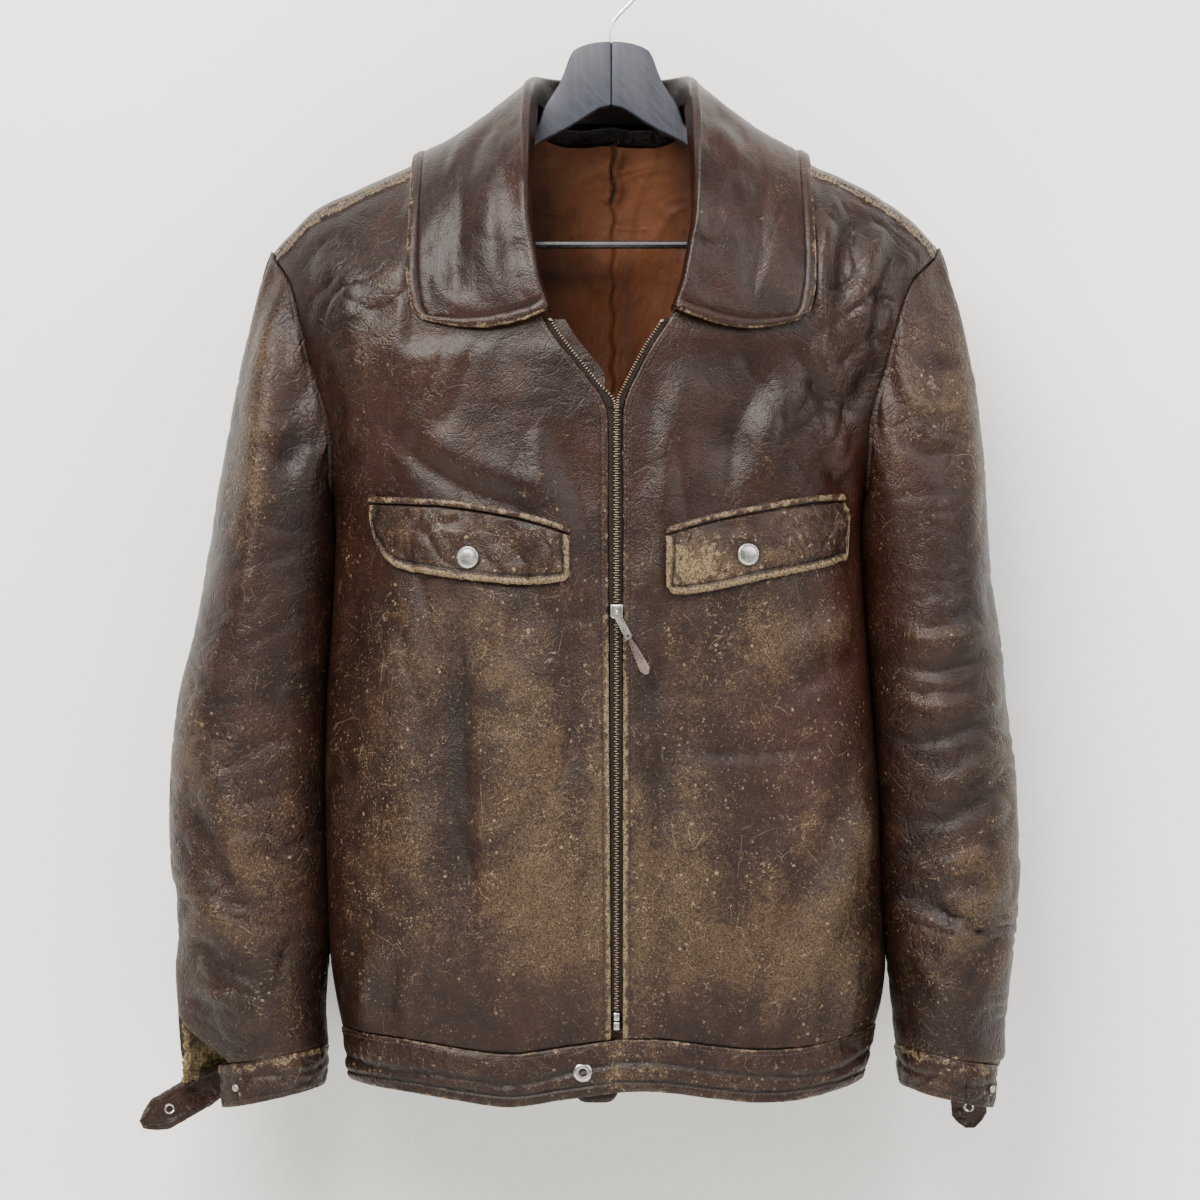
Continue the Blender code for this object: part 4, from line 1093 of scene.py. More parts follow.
# Sleeves
SLEEVE_FOLDS = {
    "right": [
        (3.2, 10, 0.2, [(-240, -220), (-246, -300), (-252, -400), (-262, -490)]),
        (-2.2, 10, 0, [(-222, -250), (-226, -320), (-228, -400)]),
        (1.8, 6, 0, [(-214, -330), (-230, -345), (-246, -350)]),
        (-1.6, 5, 0, [(-210, -350), (-226, -366), (-242, -370)]),
        (2.4, 12, 0, [(-300, -560), (-280, -600), (-262, -650)]),
        (-2, 8, 0, [(-310, -600), (-286, -636), (-262, -690)]),
        (1.8, 8, 0, [(-306, -660), (-280, -690), (-248, -716)]),
        (-2, 6, 0, [(-296, -706), (-268, -728), (-232, -738)]),
        (2, 7, 0, [(-290, -740), (-262, -752), (-228, -756)]),
        (-1.5, 6, 0, [(-210, -620), (-226, -640), (-242, -646)]),
        (1.5, 7, 0, [(-212, -560), (-232, -578), (-252, -580)]),
    ],
    "left": [
        (3, 12, -0.2, [(236, -215), (248, -290), (258, -380), (262, -460)]),
        (-2.2, 6, 0, [(216, -290), (232, -300), (248, -294)]),
        (1.8, 6, 0, [(210, -316), (226, -330), (246, -330)]),
        (-1.8, 6, 0, [(204, -350), (222, -362), (240, -360)]),
        (2.2, 6, 0, [(198, -480), (222, -494), (250, -492), (276, -482)]),
        (-2.2, 5, 0, [(198, -506), (222, -516), (250, -514), (272, -506)]),
        (2, 6, 0, [(200, -534), (226, -542), (252, -536)]),
        (-2.2, 5, 0, [(200, -562), (222, -566), (256, -556), (284, -540)]),
        (2.2, 7, 0, [(204, -590), (232, -594), (262, -584), (286, -566)]),
        (-2, 6, 0, [(206, -620), (236, -622), (266, -606)]),
        (2, 8, 0, [(210, -652), (240, -656), (272, -640)]),
        (-2.4, 6, 0, [(206, -668), (232, -688), (262, -700), (286, -700)]),
        (2.4, 8, 0, [(280, -660), (256, -690), (236, -722), (226, -756)]),
        (-2, 6, 0, [(284, -700), (262, -724), (246, -756)]),
        (2, 6, 0, [(212, -712), (232, -736), (262, -752)]),
    ],
}
SLEEVE_RUB = {
    "right": [(-256, -385, 30, 40, 0.26), (-300, -550, 18, 80, 0.30),
              (-240, -640, 40, 60, 0.20), (-300, -700, 20, 50, 0.30),
              (-232, -745, 40, 16, 0.24), (-262, -280, 10, 60, 0.18)],
    "left": [(232, -320, 30, 40, 0.26), (262, -400, 20, 60, 0.16),
             (278, -580, 18, 60, 0.34), (244, -660, 40, 40, 0.26),
             (256, -710, 40, 40, 0.26), (216, -560, 20, 60, 0.16)],
}
SLEEVE_SEAM = math.radians(4)
SLEEVE_TOUCH = -0.0020
SLEEVE_HEM = ((0.0008, 0.0004), (0.0020, 0.0014), (0.0032, 0.0050))
SLEEVE_TUCK = ((0.0048, 0.0085), (0.0030, 0.0048), (0.0014, 0.0030), (0.0003, 0.0013))


def armhole_points(side, angle):
    sign = SIGN[side]
    arm = "arm_" + side
    top = float(body(sign * edge_at(0.0, side, BODY, arm), 0.0)[2])
    z = top + (UNDERARM_Z - top) * (1 - np.cos(angle)) / 2
    x = sign * BODY.at(arm, z)
    turn = turn_at(x, z) * np.where(angle % (2 * math.pi) < math.pi, 1, -1)
    return body(x, turn)


def sleeve_ring(side, angle, z):
    sign, table = SIGN[side], SLEEVE[side]
    around = wrapped(angle)
    flare = (1 - ease(12, 50, around)) * ease(-85, -50, around)
    flare = flare * VENT_FLARE[side] * ease(-VENT_FLARE_TOP, -SLEEVE_END_Z + 0.02, -z)
    outer, inner = table.at("outer", z) + flare, table.at("inner", z)
    middle, half = (outer + inner) / 2, (outer - inner) / 2
    return stack(sign * (middle + half * np.cos(angle)), -table.at("depth", z) * np.sin(angle), z)


def sleeve_shape(side, angle, share):
    """A sleeve's smooth outer surface, as the solids have it."""
    sign = SIGN[side]
    angle, share = np.broadcast_arrays(angle, share)
    a = armhole_points(side, angle) + np.array([sign * ARMHOLE_STEP, 0, 0])
    d = sleeve_ring(side, angle, np.full(angle.shape, SLEEVE_TOP_Z))
    reach = np.linalg.norm(d - a, axis=-1, keepdims=True) / 3
    leave = unit(stack(sign * 0.36 * (1 + np.cos(angle)) / 2, -0.30 * np.sin(angle), -1.0))
    rise = unit(d - sleeve_ring(side, angle, np.full(angle.shape, SLEEVE_TOP_Z - 0.02)))
    b, c = a + leave * reach, d + rise * reach
    t = np.clip(share / SLEEVE_JOIN, 0, 1)[..., None]
    upper = a * (1 - t) ** 3 + b * 3 * t * (1 - t) ** 2 + c * 3 * t * t * (1 - t) + d * t ** 3
    low = np.clip((share - SLEEVE_JOIN) / (1 - SLEEVE_JOIN), 0, 1)
    lower = sleeve_ring(side, angle, SLEEVE_TOP_Z + (SLEEVE_END_Z - SLEEVE_TOP_Z) * low)
    around = wrapped(angle)
    vent = VENT_RISE[side] * ease(-16, 4, around) * (1 - ease(4, 58, around))
    lower[..., 2] += (vent - CUFF_TILT * np.cos(angle)) * low ** 2
    return np.where(share[..., None] < SLEEVE_JOIN, upper, lower)


def sleeve_relief(side, points, angle, share):
    x, z = points[..., 0], points[..., 2]
    front = points[..., 1] < 0
    folds = fold_height(x, z, SLEEVE_FOLDS[side])
    mirrored = fold_height(-x, z - 0.02, SLEEVE_FOLDS["left" if side == "right" else "right"])
    folds = np.where(front, folds, 0.8 * mirrored) * ease(0.0, 0.02, np.abs(points[..., 1]))
    soft = 0.0016 * ripple(points, 0.08, 41, (1, 1, 0.6)) + 0.0003 * ripple(points, 0.026, 42)
    elbow = 0.35 + spots(x, z, [(SIGN[side] * 240, -600, 90, 110, 0.5),
                                (SIGN[side] * 260, -720, 90, 50, 0.5)])
    folds = folds - 0.0015 * crumple(points, 0.038, 51, (0.8, 0.8, 2.2)) * elbow
    cap = line_at(share, 0, 0.10) * ease(0.0, 0.012, share)
    tucks = 0.0011 * np.sin(angle * 17 + 2.4 * np.sin(angle * 3)) * cap
    seam = np.exp(-(np.sin(angle - SLEEVE_SEAM) * 30) ** 2)
    folds = folds * chosen().fold_depth
    return ((1.4 * soft + 1.7 * folds) * ease(0.0, 0.07, share) * ease(1.0, 0.965, share)
            + tucks - 0.0009 * seam)


SLEEVE_CUT = {"right": 0.165, "left": 0.160}


def make_sleeves():
    """Build both sleeves, creased at the armholes and elbows."""
    for side in SIDES:
        angles = np.arange(104) * (2 * math.pi / 104)
        angles = (-angles * SIGN[side])[None, :]
        shares = crowded(186, 0.002, 0.56)[:, None]
        flat = sleeve_shape(side, angles, shares)
        normals = grid_normals(flat, closed=True)
        angle, share = np.broadcast_arrays(angles % (2 * math.pi), shares)
        x, z = flat[..., 0], flat[..., 2]
        relief = sleeve_relief(side, flat, angle, share)
        against = (ease(0.30, 0.95, -np.cos(angle)) * ease(-0.752, -0.700, z)
                   * ease(-0.330, -0.400, z))
        gap = SLEEVE[side].at("inner", z) - BODY.at("half_" + side, z) - SLEEVE_TOUCH
        grid = flat + normals * (relief * (1 - against))[..., None]
        grid[..., 0] -= SIGN[side] * against * np.maximum(gap, 0)
        around = wrapped(angle)
        held = ease(0.90, 1.0, share) * (1 - ease(-100, -80, around) * (1 - ease(60, 80, around)))
        grid = mix(grid, cuff_point(side, angle, 0.0) + np.array([0, 0, 0.0003]), held)
        rub = 0.18 + spots(x, z, SLEEVE_RUB[side]) + relief * 60
        rub = rub + edge_rub(grid, ("bottom",), 0.004, 0.30)
        crease = 0.60 + 0.6 * ease(-0.50, -0.60, z) + 0.45 * line_at(share, 0, 0.16)
        # The dark mark is painted shade in the hollows of the folds and along the armhole seam at the
        # top, and it darkens the sleeve towards the cuff, more on the right.
        marks = {"rub": rub, "shine": 0.50 - 0.30 * ease(-0.42, -0.60, z), "crease": crease,
                 "tint": spots(x, z, [(210, -450, 30, 100, 0.20)]),
                 "dark": np.clip(-relief * 120 - 0.12, 0, 0.50) + edge_rub(grid, ("top",), 0.0022, 0.35)
                 + (0.16 if side == "right" else 0.06) * ease(-0.62, -0.72, z)}
        inner = unit((grid[-1].mean(axis=0) - grid[-1]) * np.array([1, 1, 0]))
        hem = [grid[-1] + inner * deep - np.array([0, 0, down]) for deep, down in SLEEVE_HEM]
        inward = unit((grid[0].mean(axis=0) - grid[0]) * np.array([0, 1, 1]))
        tucked = [grid[0] + inward * deep - np.array([SIGN[side] * along, 0, 0])
                  for deep, along in SLEEVE_TUCK]
        grid = lengthened(grid, marks, tucked, hem)
        cover("sleeve_" + side, grid, marks, closed=True, flat=(0.440, 0.600),
              nodes=["sleeve_front_" + side, "sleeve_back_" + side],
              rests_on=["front_" + side + "_leather"], area=SLEEVE_CUT[side])


# Cuffs and waistband
def cuff_point(side, angle, low, lift=0.0):
    sign = SIGN[side]
    outer, inner = CUFF[side]
    middle, half = (outer + inner) / 2, (outer - inner) / 2 - CUFF_TAPER * low
    depth = CUFF_DEPTH - CUFF_TAPER * low
    z = SLEEVE_END_Z - 0.0012 - CUFF_TILT * np.cos(angle) - low * CUFF_HEIGHT
    out = stack(np.cos(angle) * sign, -np.sin(angle), 0)
    return stack(sign * (middle + half * np.cos(angle)), -depth * np.sin(angle), z) + out * (
        np.asarray(lift)[..., None])


def make_cuffs():
    """Build both cuffs."""
    for side in SIDES:
        angle = row(np.radians(26 + (328 - 26) * crowded(110, 0.0015, 0.26)), side == "right")
        low = crowded(22, 0.0014, 0.031)[:, None]
        flat = cuff_point(side, angle, low)
        roll = 0.0014 * np.sin(low * math.pi) ** 0.7 + 0.0009 * ripple(flat, 0.020, 61)
        roll = roll - 0.0013 * line_at(low, 0.42 + 0.12 * ripple(flat, 0.05, 63), 0.08)
        roll = roll - 0.0014 * crumple(flat, 0.012, 62, (1, 1, 0.8)) * ease(0, 0.2, low)
        grid = cuff_point(side, angle, low, roll * ease(0, 0.15, low))
        rub = 0.20 + roll * 160 + edge_rub(grid, FREE_EDGES, 0.003, 0.35)
        bare = 0.50 * line_at(low, 0.12, 0.14) + edge_rub(grid, ("bottom",), 0.002, 0.35)
        # The dark mark is painted shade in the hollows of the roll and along a groove near the lower
        # edge.
        marks = {"rub": rub, "shine": 0.5, "crease": 0.5, "bare": bare,
                 "dark": np.clip(-roll * 170 - 0.1, 0, 0.5) + 0.7 * line_at(low, 0.83, 0.03)}
        cover("cuff_" + side, grid, marks, FOLDED_WALL, EDGES, flat=(0.235, 0.075),
              rests_on=["sleeve_" + side + "_leather"], area=0.0085)


BAND_LAST = 0.965
BAND_CLOSE = 0.0070


def band_point(place, low, lift=0.0):
    """The waistband's outer face: |1| is a side seam, 0 the front's middle and
    |2| the back's; low is 0 at its top seam."""
    place, low = np.broadcast_arrays(np.asarray(place, float), np.asarray(low, float))
    sign = np.where(place < 0, -1.0, 1.0)
    behind = np.abs(place) > 1.0001
    around = np.where(behind, 2 - np.abs(place), np.abs(place))
    share = np.sin(np.minimum(around, BAND_LAST) * math.pi / 2) ** (2 / SIDE_POWER)
    z = np.full(place.shape, SLEEVE_END_Z)
    for _ in range(4):
        x = sign * share * by_side(BODY, "half", sign, z)
        z = by_side(HEM, "z", sign, np.abs(x)) - BAND_SEAM - low * BAND_HEIGHT
    point = surface(x, z, 1.0, ~behind)
    away = unit(stack(point[..., 0], point[..., 1] * 2, 0.0))
    point = point + away * (0.0008 + np.asarray(lift))[..., None]
    seam = around > BAND_LAST
    point[..., 1] = np.where(seam, np.where(behind, 0.0008, -0.0008), point[..., 1])
    return point


def make_band(name, places, edges, flat, area, rests_on):
    low = rimmed(16, 0.037)[:, None]
    places = places[None, :]
    plain = band_point(places, low)
    roll = 0.0020 * np.sin(low * math.pi) ** 0.7 + 0.0009 * ripple(plain, 0.030, 71)
    middle = line_at(low, 0.50 + 0.10 * ripple(plain, 0.08, 72), 0.07)
    seam_line = line_at(low, 0.80 + 0 * plain[..., 0], 0.035)
    roll = roll - 0.0017 * middle - 0.0012 * seam_line
    roll = roll - 0.0011 * crumple(plain, 0.014, 73, (1.3, 1.3, 0.9))
    roll = roll + 0.0005 * ripple(plain, 0.006, 74, (1, 1, 0.35)) * np.cos(low * math.pi) ** 2
    seam = np.where(np.abs(places) > 1.0001, 2 - np.abs(places), np.abs(places)) > BAND_LAST - 0.06
    grid = band_point(places, low, np.where(seam, 0, roll * ease(0, 0.12, low) * ease(1, 0.9, low)))
    rub = 0.12 + roll * 110 + edge_rub(grid, edges, 0.0035, 0.30)
    x = plain[..., 0]
    # The dark mark is painted shade in the crease along the middle and in the seam groove near the
    # lower edge.
    marks = {"rub": rub + spots(x, x * 0, [(20, 0, 30, 1000, 0.25)]), "shine": 0.35, "crease": 0.45,
             "bare": edge_rub(grid, edges, 0.0022, 0.45),
             "dark": 0.45 * middle + 0.7 * seam_line}
    cover(name, grid, marks, FOLDED_WALL, edges, flat=flat, rests_on=rests_on, area=area)


BAND_LAP = 0.004  # the two ends meet with their rolled edges pressed together


def make_waistband():
    """Build the hem band and its underlap tab."""
    steps = np.concatenate([np.linspace(0.02, BAND_LAST, 110), [1.0]])
    right = np.concatenate([-steps[::-1], [BAND_CLOSE + BAND_LAP]])
    left = np.concatenate([[BAND_CLOSE - BAND_LAP], steps])
    behind = np.concatenate([2 - steps[:-1], [1.001]])
    around = np.concatenate([behind[::-1], [2.0], -behind])
    make_band("waistband_right", right, ("top", "bottom", "last"), (0.240, 0.090), 0.0088,
              ["front_right_leather"])
    make_band("waistband_left", left, ("top", "bottom", "first"), (0.240, 0.090), 0.0088,
              ["front_left_leather"])
    make_band("waistband_back", around, ("top", "bottom"), (0.460, 0.090), 0.0175, ["back_leather"])
    across = np.linspace(-1, 1, 26)[None, :]
    x = -0.01065 + 0.01485 * across
    foot = 0.0295 - 0.0060 * np.abs(across) ** 5
    z = -0.790 - foot * np.linspace(0, 1, 18)[:, None]
    grid = surface(x, z, 1.0, True) + np.array([0, 0.0046, 0])
    marks = {"rub": edge_rub(grid, ("bottom", "last"), 0.003, 0.3), "shine": 0.3, "crease": 0.3}
    cover("underlap_tab", grid, marks, THIN_WALL, FREE_EDGES, flat=(0.030, 0.030),
          rests_on=["waistband_right_leather"])


# Collar
def collar_face(side, place, fall, lift=0.0):
    """The fall's outer face: fall is 0 at the roll and 1 at the outer edge."""
    place, fall = np.broadcast_arrays(np.asarray(place, float), np.asarray(fall, float))
    read = {name: COLLAR.at(name, place) for name in COLLAR.names}
    x = SIGN[side] * (read["roll_x"] + (read["edge_x"] - read["roll_x"]) * fall)
    turn = read["roll_turn"] + (read["edge_turn"] - read["roll_turn"]) * fall
    off = (1 - fall) ** 2
    point = body(x, turn) + normal_at(x, turn) * (COLLAR_CLEAR + read["out"] * off + lift)[..., None]
    sag = COLLAR_SAG * np.sin(math.pi * fall) * np.maximum(0.0, (place - 0.7) / 0.3) ** 2
    point[..., 2] += read["up"] * off - sag
    return point


COLLAR_FOLDS = [
    (1.4, 6, 0, [(-100, -140), (-108, -152), (-112, -170)]),
    (-1.3, 4, 0, [(-82, -128), (-94, -142), (-100, -160)]),
    (2.2, 10, 0.2, [(-82, -150), (-86, -200), (-80, -250)]),
    (-1.4, 7, 0, [(-104, -180), (-108, -220), (-110, -258)]),
    (1.4, 7, 0, [(-126, -236), (-116, -252), (-98, -262)]),
    (-1.2, 4, 0, [(60, -116), (78, -124), (96, -140)]),
    (1.4, 6, 0, [(58, -128), (76, -138), (96, -158)]),
    (2, 12, 0.2, [(90, -160), (86, -200), (82, -240)]),
    (-1.4, 7, 0, [(106, -172), (104, -212), (98, -250)]),
    (1.2, 6, 0, [(58, -222), (66, -232), (78, -236)]),
]


def make_collar():
    """Build the collar's stand, roll and fall."""
    fine = rimmed(60, 0.20)
    places = 1 - np.concatenate([fine[fine < 0.5], np.linspace(0.5, 0.996, 36)])
    fine = rimmed(40, 0.085)
    falls = np.concatenate([np.linspace(0, 0.5, 19)[1:-1], fine[fine > 0.5]])
    columns, shares, grooves = [], [], []
    for side, along in (("right", places), ("left", places[::-1])):
        roll = collar_face(side, along, 0.0)
        inward = unit(stack(-roll[..., 0], -0.015 - roll[..., 1], 0.0))
        x = SIGN[side] * COLLAR.at("roll_x", along)
        foot = body(x, COLLAR.at("roll_turn", along)) + inward * STAND_FOOT
        foot[..., 2] += 0.004 * (1 - along)
        top = roll + inward * ROLL_WIDTH
        stand = [mix(foot, top, np.full(len(along), s)) for s in np.linspace(0, 1, 12)]
        arch = [roll + inward * (ROLL_WIDTH * (1 + math.cos(angle)) / 2)
                + np.array([0, 0, ROLL_RISE * math.sin(angle)])
                for angle in np.radians((30, 60, 90, 120, 150, 180))]
        plain = collar_face(side, along[None, :], falls[:, None])
        folds = 1.5 * fold_height(plain[..., 0], plain[..., 2], COLLAR_FOLDS)
        folds = folds + 0.0012 * ripple(plain, 0.045, 81, (1, 1, 0.5))
        folds = folds - 0.0006 * crumple(plain, 0.026, 82)
        fall = falls[:, None]
        edge = np.minimum(np.minimum(1 - fall, 0.35) * 0.085, (1 - along[None, :]) * 0.2)
        welt = 0.0012 * line_at(edge, 0.0034, 0.0030) + 0.0002 * ripple(plain, 0.005, 83)
        welt = welt - 0.0009 * crumple(plain, 0.011, 84, (0.5, 0.5, 1.3)) * ease(0.42, 0.05, fall)
        welt = welt * ease(0, 0.06, fall)
        calm = ease(0.0, 0.02, edge) * ease(0, 0.25, fall)
        lift = folds * calm + welt - 0.0011 * line_at(edge, 0.0074, 0.0012)
        leaf = collar_face(side, along[None, :], fall, lift)
        hidden = np.zeros((len(stand) + len(arch), len(along)))
        columns.append(np.concatenate([np.stack(stand + arch), leaf]))
        shares.append(np.concatenate([hidden - 1, np.broadcast_to(fall, edge.shape)]))
        grooves.append(np.concatenate([hidden, line_at(edge, 0.0074, 0.0008)]))
    grid = np.concatenate(columns, axis=1)
    share = np.concatenate(shares, axis=1)
    x, z = grid[..., 0], grid[..., 2]
    rub = 0.02 + edge_rub(grid, FREE_EDGES, 0.0040, 0.42) * (share >= 0)
    rub = rub + np.where(share > 0, spots(x, z, [(118, -170, 8, 60, 0.25)]), 0)
    # The dark mark is painted shade: a painted shadow on the stand towards the back, behind the hanger,
    # and dark lines in the stitched grooves.
    marks = {"rub": rub, "shine": 0.72 + 0.25 * (share < 0.10), "crease": 0.24,
             "bare": edge_rub(grid, FREE_EDGES, 0.0030, 0.50) * (share > 0),
             "dark": np.where((share < 0) & (grid[..., 1] > -0.02), 0.85, 0.0)
             + 0.8 * np.concatenate(grooves, axis=1)}
    cover("collar", grid, marks, edges=FREE_EDGES, held="folded",
          flat=(0.520, 0.150), area=0.076,
          rests_on=["front_right_leather", "front_left_leather", "back_leather"])


# Chest pockets
FLAP_BARE = [(52, -444, 24, 18, 0.72), (85, -450, 20, 8, 0.25),
             (-52, -448, 18, 8, 0.22)]


PINCH_PITCH = 0.0052


def flap_point(side, across, low, lift=0.0):
    table = POCKET[side]
    first, last = table.places[0], table.places[-1]
    share = (1 - np.cos(math.pi * across)) / 2
    x = SIGN[side] * (first + (last - first) * share)
    top, bottom = table.at("top", np.abs(x)), table.at("bottom", np.abs(x))
    z = top + (bottom - top) * low
    return skin_at(x, z, FLAP_LIFT + FLAP_DROOP * low + lift)


def make_pockets():
    """Build the chest pockets' welts and flaps."""
    for side in SIDES:
        sign = SIGN[side]
        across = row(np.arccos(1 - 2 * rimmed(116, 0.14)) / math.pi, sign > 0)
        low = rimmed(26, 0.045)[:, None]
        plain = flap_point(side, across, low)
        tops = margins(plain)
        edge = nearest(tops)
        lift = 0.0012 * line_at(edge, 0.0030, 0.0027) + 0.0008 * ease(0.0075, 0.014, edge)
        lift = lift - 0.0010 * line_at(edge, 0.0064) + 0.0003 * ripple(plain, 0.006, 93)
        slant = plain[..., 0] + 0.8 * plain[..., 2] + 0.004 * ripple(plain, 0.020, 95)
        pinch = np.sin(slant * 2 * math.pi / PINCH_PITCH) * line_at(edge, 0.0026, 0.0024)
        lift = lift + 0.00028 * pinch
        lift = lift + 0.0009 * ripple(plain, 0.026, 91) - 0.0011 * crumple(plain, 0.018, 92)
        lift = lift * ease(0.0, 0.006, tops["top"])
        snap_x, snap_z = FLAP_SNAP[side]
        away = np.hypot(plain[..., 0] - snap_x, plain[..., 2] - snap_z)
        lift = lift * ease(0.008, 0.016, away) - 0.0008 * line_at(away, 0, 0.011)
        grid = flap_point(side, across, low, lift)
        x, z = plain[..., 0], plain[..., 2]
        worn = [(55, -446, 26, 16, 0.75), (110, -440, 50, 12, 0.24),
                (-50, -450, 30, 10, 0.30), (-110, -440, 40, 12, 0.12),
                (-158, -412, 10, 14, 0.30)]
        rub = 0.33 + spots(x, z, worn) + lift * 120
        rub = rub + edge_rub(grid, FREE_EDGES, 0.0050, 0.40)
        bare = 0.78 * line_at(edge, 0.0012, 0.0042) + lift * 130 + spots(x, z, FLAP_BARE)
        bare = bare + 0.14 * pinch
        # The dark mark is painted shade in the stitched groove round the flap and in the hollows of its
        # relief.
        marks = {"rub": rub, "shine": 0.25 + 0.3 * spots(x, z, [(-120, -420, 50, 20, 1.0)]),
                 "crease": 0.42, "bare": bare,
                 "dark": 0.85 * line_at(edge, 0.0065, 0.0008) + np.clip(-lift * 200 - 0.1, 0, 0.5)}
        front = ["front_" + side + "_leather"]
        cover("pocket_flap_" + side, grid, marks, edges=EDGES, slot="worn_leather",
              flat=(0.150, 0.060), rests_on=front, area=0.0072)
        table = POCKET[side]
        x = row(sign * np.linspace(table.places[0], table.places[-1], 80), sign > 0)
        turn = np.linspace(0, 1, 9)[:, None]
        z = table.at("top", np.abs(x)) + 0.0006 + WELT_HEIGHT * (1 - turn)
        puff = np.sin(turn * math.pi) ** 0.7
        plain = skin_at(x + 0 * z, z)
        pucker = 0.0005 * ripple(plain, 0.007, 94, (1, 1, 0.3)) * puff
        grid = skin_at(x + 0 * z, z, 0.0030 + 0.0020 * puff + pucker)
        marks = {"rub": 0.30 + 0.2 * puff + 0 * x, "shine": 0.5, "crease": 0.3, "tint": 0.12,
                 "bare": 0.62 * puff + pucker * 300 - 0.12}
        cover("pocket_welt_" + side, grid, marks, edges=EDGES, flat=(0.140, 0.012),
              rests_on=front, area=0.00118)


# Inside: lining, facings and the vent's pile
LINING_LOW_TURN = -1.42
LINING_WALL = 0.0010
PILE_WALL = 0.0030
LINING_HALF = 0.105
LINING_BACK = -0.0055
FACING_WIDTH = 0.040
FACING_TOP_Z = -0.2690
FACING_LOW_Z = -0.4000
FACING_REACH = {"right": 0.015, "left": 0.004}
TEAR = (0.0015, -0.128, -0.176)  # the torn seam's middle and its ends


def make_lining():
    """Build the satin lining of the back, torn at its seam."""
    x = np.linspace(-LINING_HALF, LINING_HALF, 130)[None, ::-1]
    down = np.linspace(0, 1, 150)[:, None]
    top = BACK_TOP.at("turn", np.abs(x)) - 0.09
    turn = top + (LINING_LOW_TURN - top) * down
    flat = body(x + 0 * turn, turn)
    z = flat[..., 2]
    pull = 0.0011 * ripple(flat, 0.050, 95, (1, 1, 0.35))
    pull = pull + 0.0005 * ripple(flat, 0.018, 96, (1, 1, 0.3))
    pull = pull + 0.0022 * crumple(flat, 0.016, 100, (0.45, 0.45, 1.8)) * ease(-0.23, -0.16, z)
    middle, high, low = TEAR
    apart = x - middle - 0.0012 * np.sin(z * 260)
    seam = 0.0009 * line_at(np.abs(apart), 0.0030, 0.0018)
    seam = seam - 0.0016 * line_at(apart, 0, 0.0012)
    inside = ease(low, low + 0.006, z) * (1 - ease(high - 0.006, high, z))
    seam = seam + inside * 0.0018 * line_at(np.abs(apart), 0.0042, 0.0030)
    grid = skin(x + 0 * turn, turn, LINING_BACK - 0.3 * pull - seam)
    # The dark mark is painted shade: in the torn seam's gap and along the seam, a painted shadow along
    # the top under the hanger and collar, and painted shadows under the bar and beside the collar in
    # listed spots.
    dark = line_at(apart, 0, 0.0009 + 0.0016 * inside) * (0.5 + 0.5 * inside)
    dark = np.maximum(dark, 0.85 * ease(-0.122, -0.106, z))
    dark = dark + spots(x + 0 * z, z, [(-35, -228, 30, 10, 0.55), (-60, -190, 22, 80, 0.50),
                                       (55, -180, 14, 70, 0.40), (12, -260, 4, 40, 0.30)])
    cover("lining_back", grid, {"dark": dark}, LINING_WALL, kind="satin", finish="lining",
          slot="lining", flat=(0.225, 0.360), rests_on=["back_leather"], area=0.073)
    chance = np.random.default_rng(17)
    places = []
    for _ in range(34):
        z = chance.uniform(low, high)
        root = skin(middle + 0.0012 * math.sin(z * 260) + chance.uniform(-0.003, 0.003),
                    turn_at(0.0, z) * -1, LINING_BACK - 0.0010)
        away = unit(np.array([chance.uniform(-1, 1), -0.25, chance.uniform(-0.9, 0.7)]))
        side = unit(np.cross(away, [0, 1.0, 0]))
        length = chance.uniform(0.003, 0.009)
        places.append((root + away * length / 2, away * length, side * 0.00035,
                       np.cross(away, side) * 0.00035))
    base = thread_base()
    strewn("lining_frayed_threads", base, places, "frayed", degrees=60)
    bpy.data.meshes.remove(base)


def make_facings():
    """Build the leather facings beside the zip."""
    for side in SIDES:
        sign = SIGN[side]
        z = np.linspace(FACING_TOP_Z, FACING_LOW_Z, 70)[:, None]
        edge = FRONT_EDGE.at(side, z)
        reach = FACING_REACH[side] * np.clip((edge - 0.004) / 0.016, 0, 1)
        share = row(np.linspace(0, 1, 26), sign > 0)
        x = sign * (edge - reach + (FACING_WIDTH + reach) * share)
        plain = surface(x, z + 0 * x, 1.0, True)
        wave = 0.0006 * ripple(plain, 0.02, 97)
        grid = plain + stack(0, 0.0044 + wave, 0)
        marks = {"rub": 0.10 + wave * 120, "shine": 0.4, "crease": 0.6}
        cover("facing_" + side, grid, marks, THIN_WALL, flat=(0.056, 0.135),
              rests_on=["front_" + side + "_leather"], area=0.0062)


def make_vent_lining():
    """Build the pile inside the open vent."""
    z = np.linspace(-0.738, -0.812, 60)[:, None]
    degrees = np.linspace(-86, 10, 72)[None, :]
    point = sleeve_ring("right", np.radians(degrees + 0 * z), z + 0 * degrees)
    middle = stack(np.full(point.shape[:2], -0.250), 0.0, point[..., 2])
    tuft = 0.0016 * crumple(point, 0.0045, 98) + 0.0010 * ripple(point, 0.0035, 99)
    grid = point + unit(middle - point) * (VENT_LINING_DEPTH - tuft)[..., None]
    cover("vent_lining_right", grid, None, PILE_WALL, kind="pile", finish="pile", slot="pile",
          flat=(0.110, 0.090), rests_on=["sleeve_right_leather"], area=0.0080)


# Zip, straps and metal parts
ZIP_TOP_Z = -0.268
CHAIN_TOP_Z = -0.3315
TEETH_OFF = 0.0046
SLIDER_Z = -0.4740
ZIP_FOOT_Z = -0.7540
TOOTH_PITCH = 0.0034
STITCH_PITCH = 0.0033


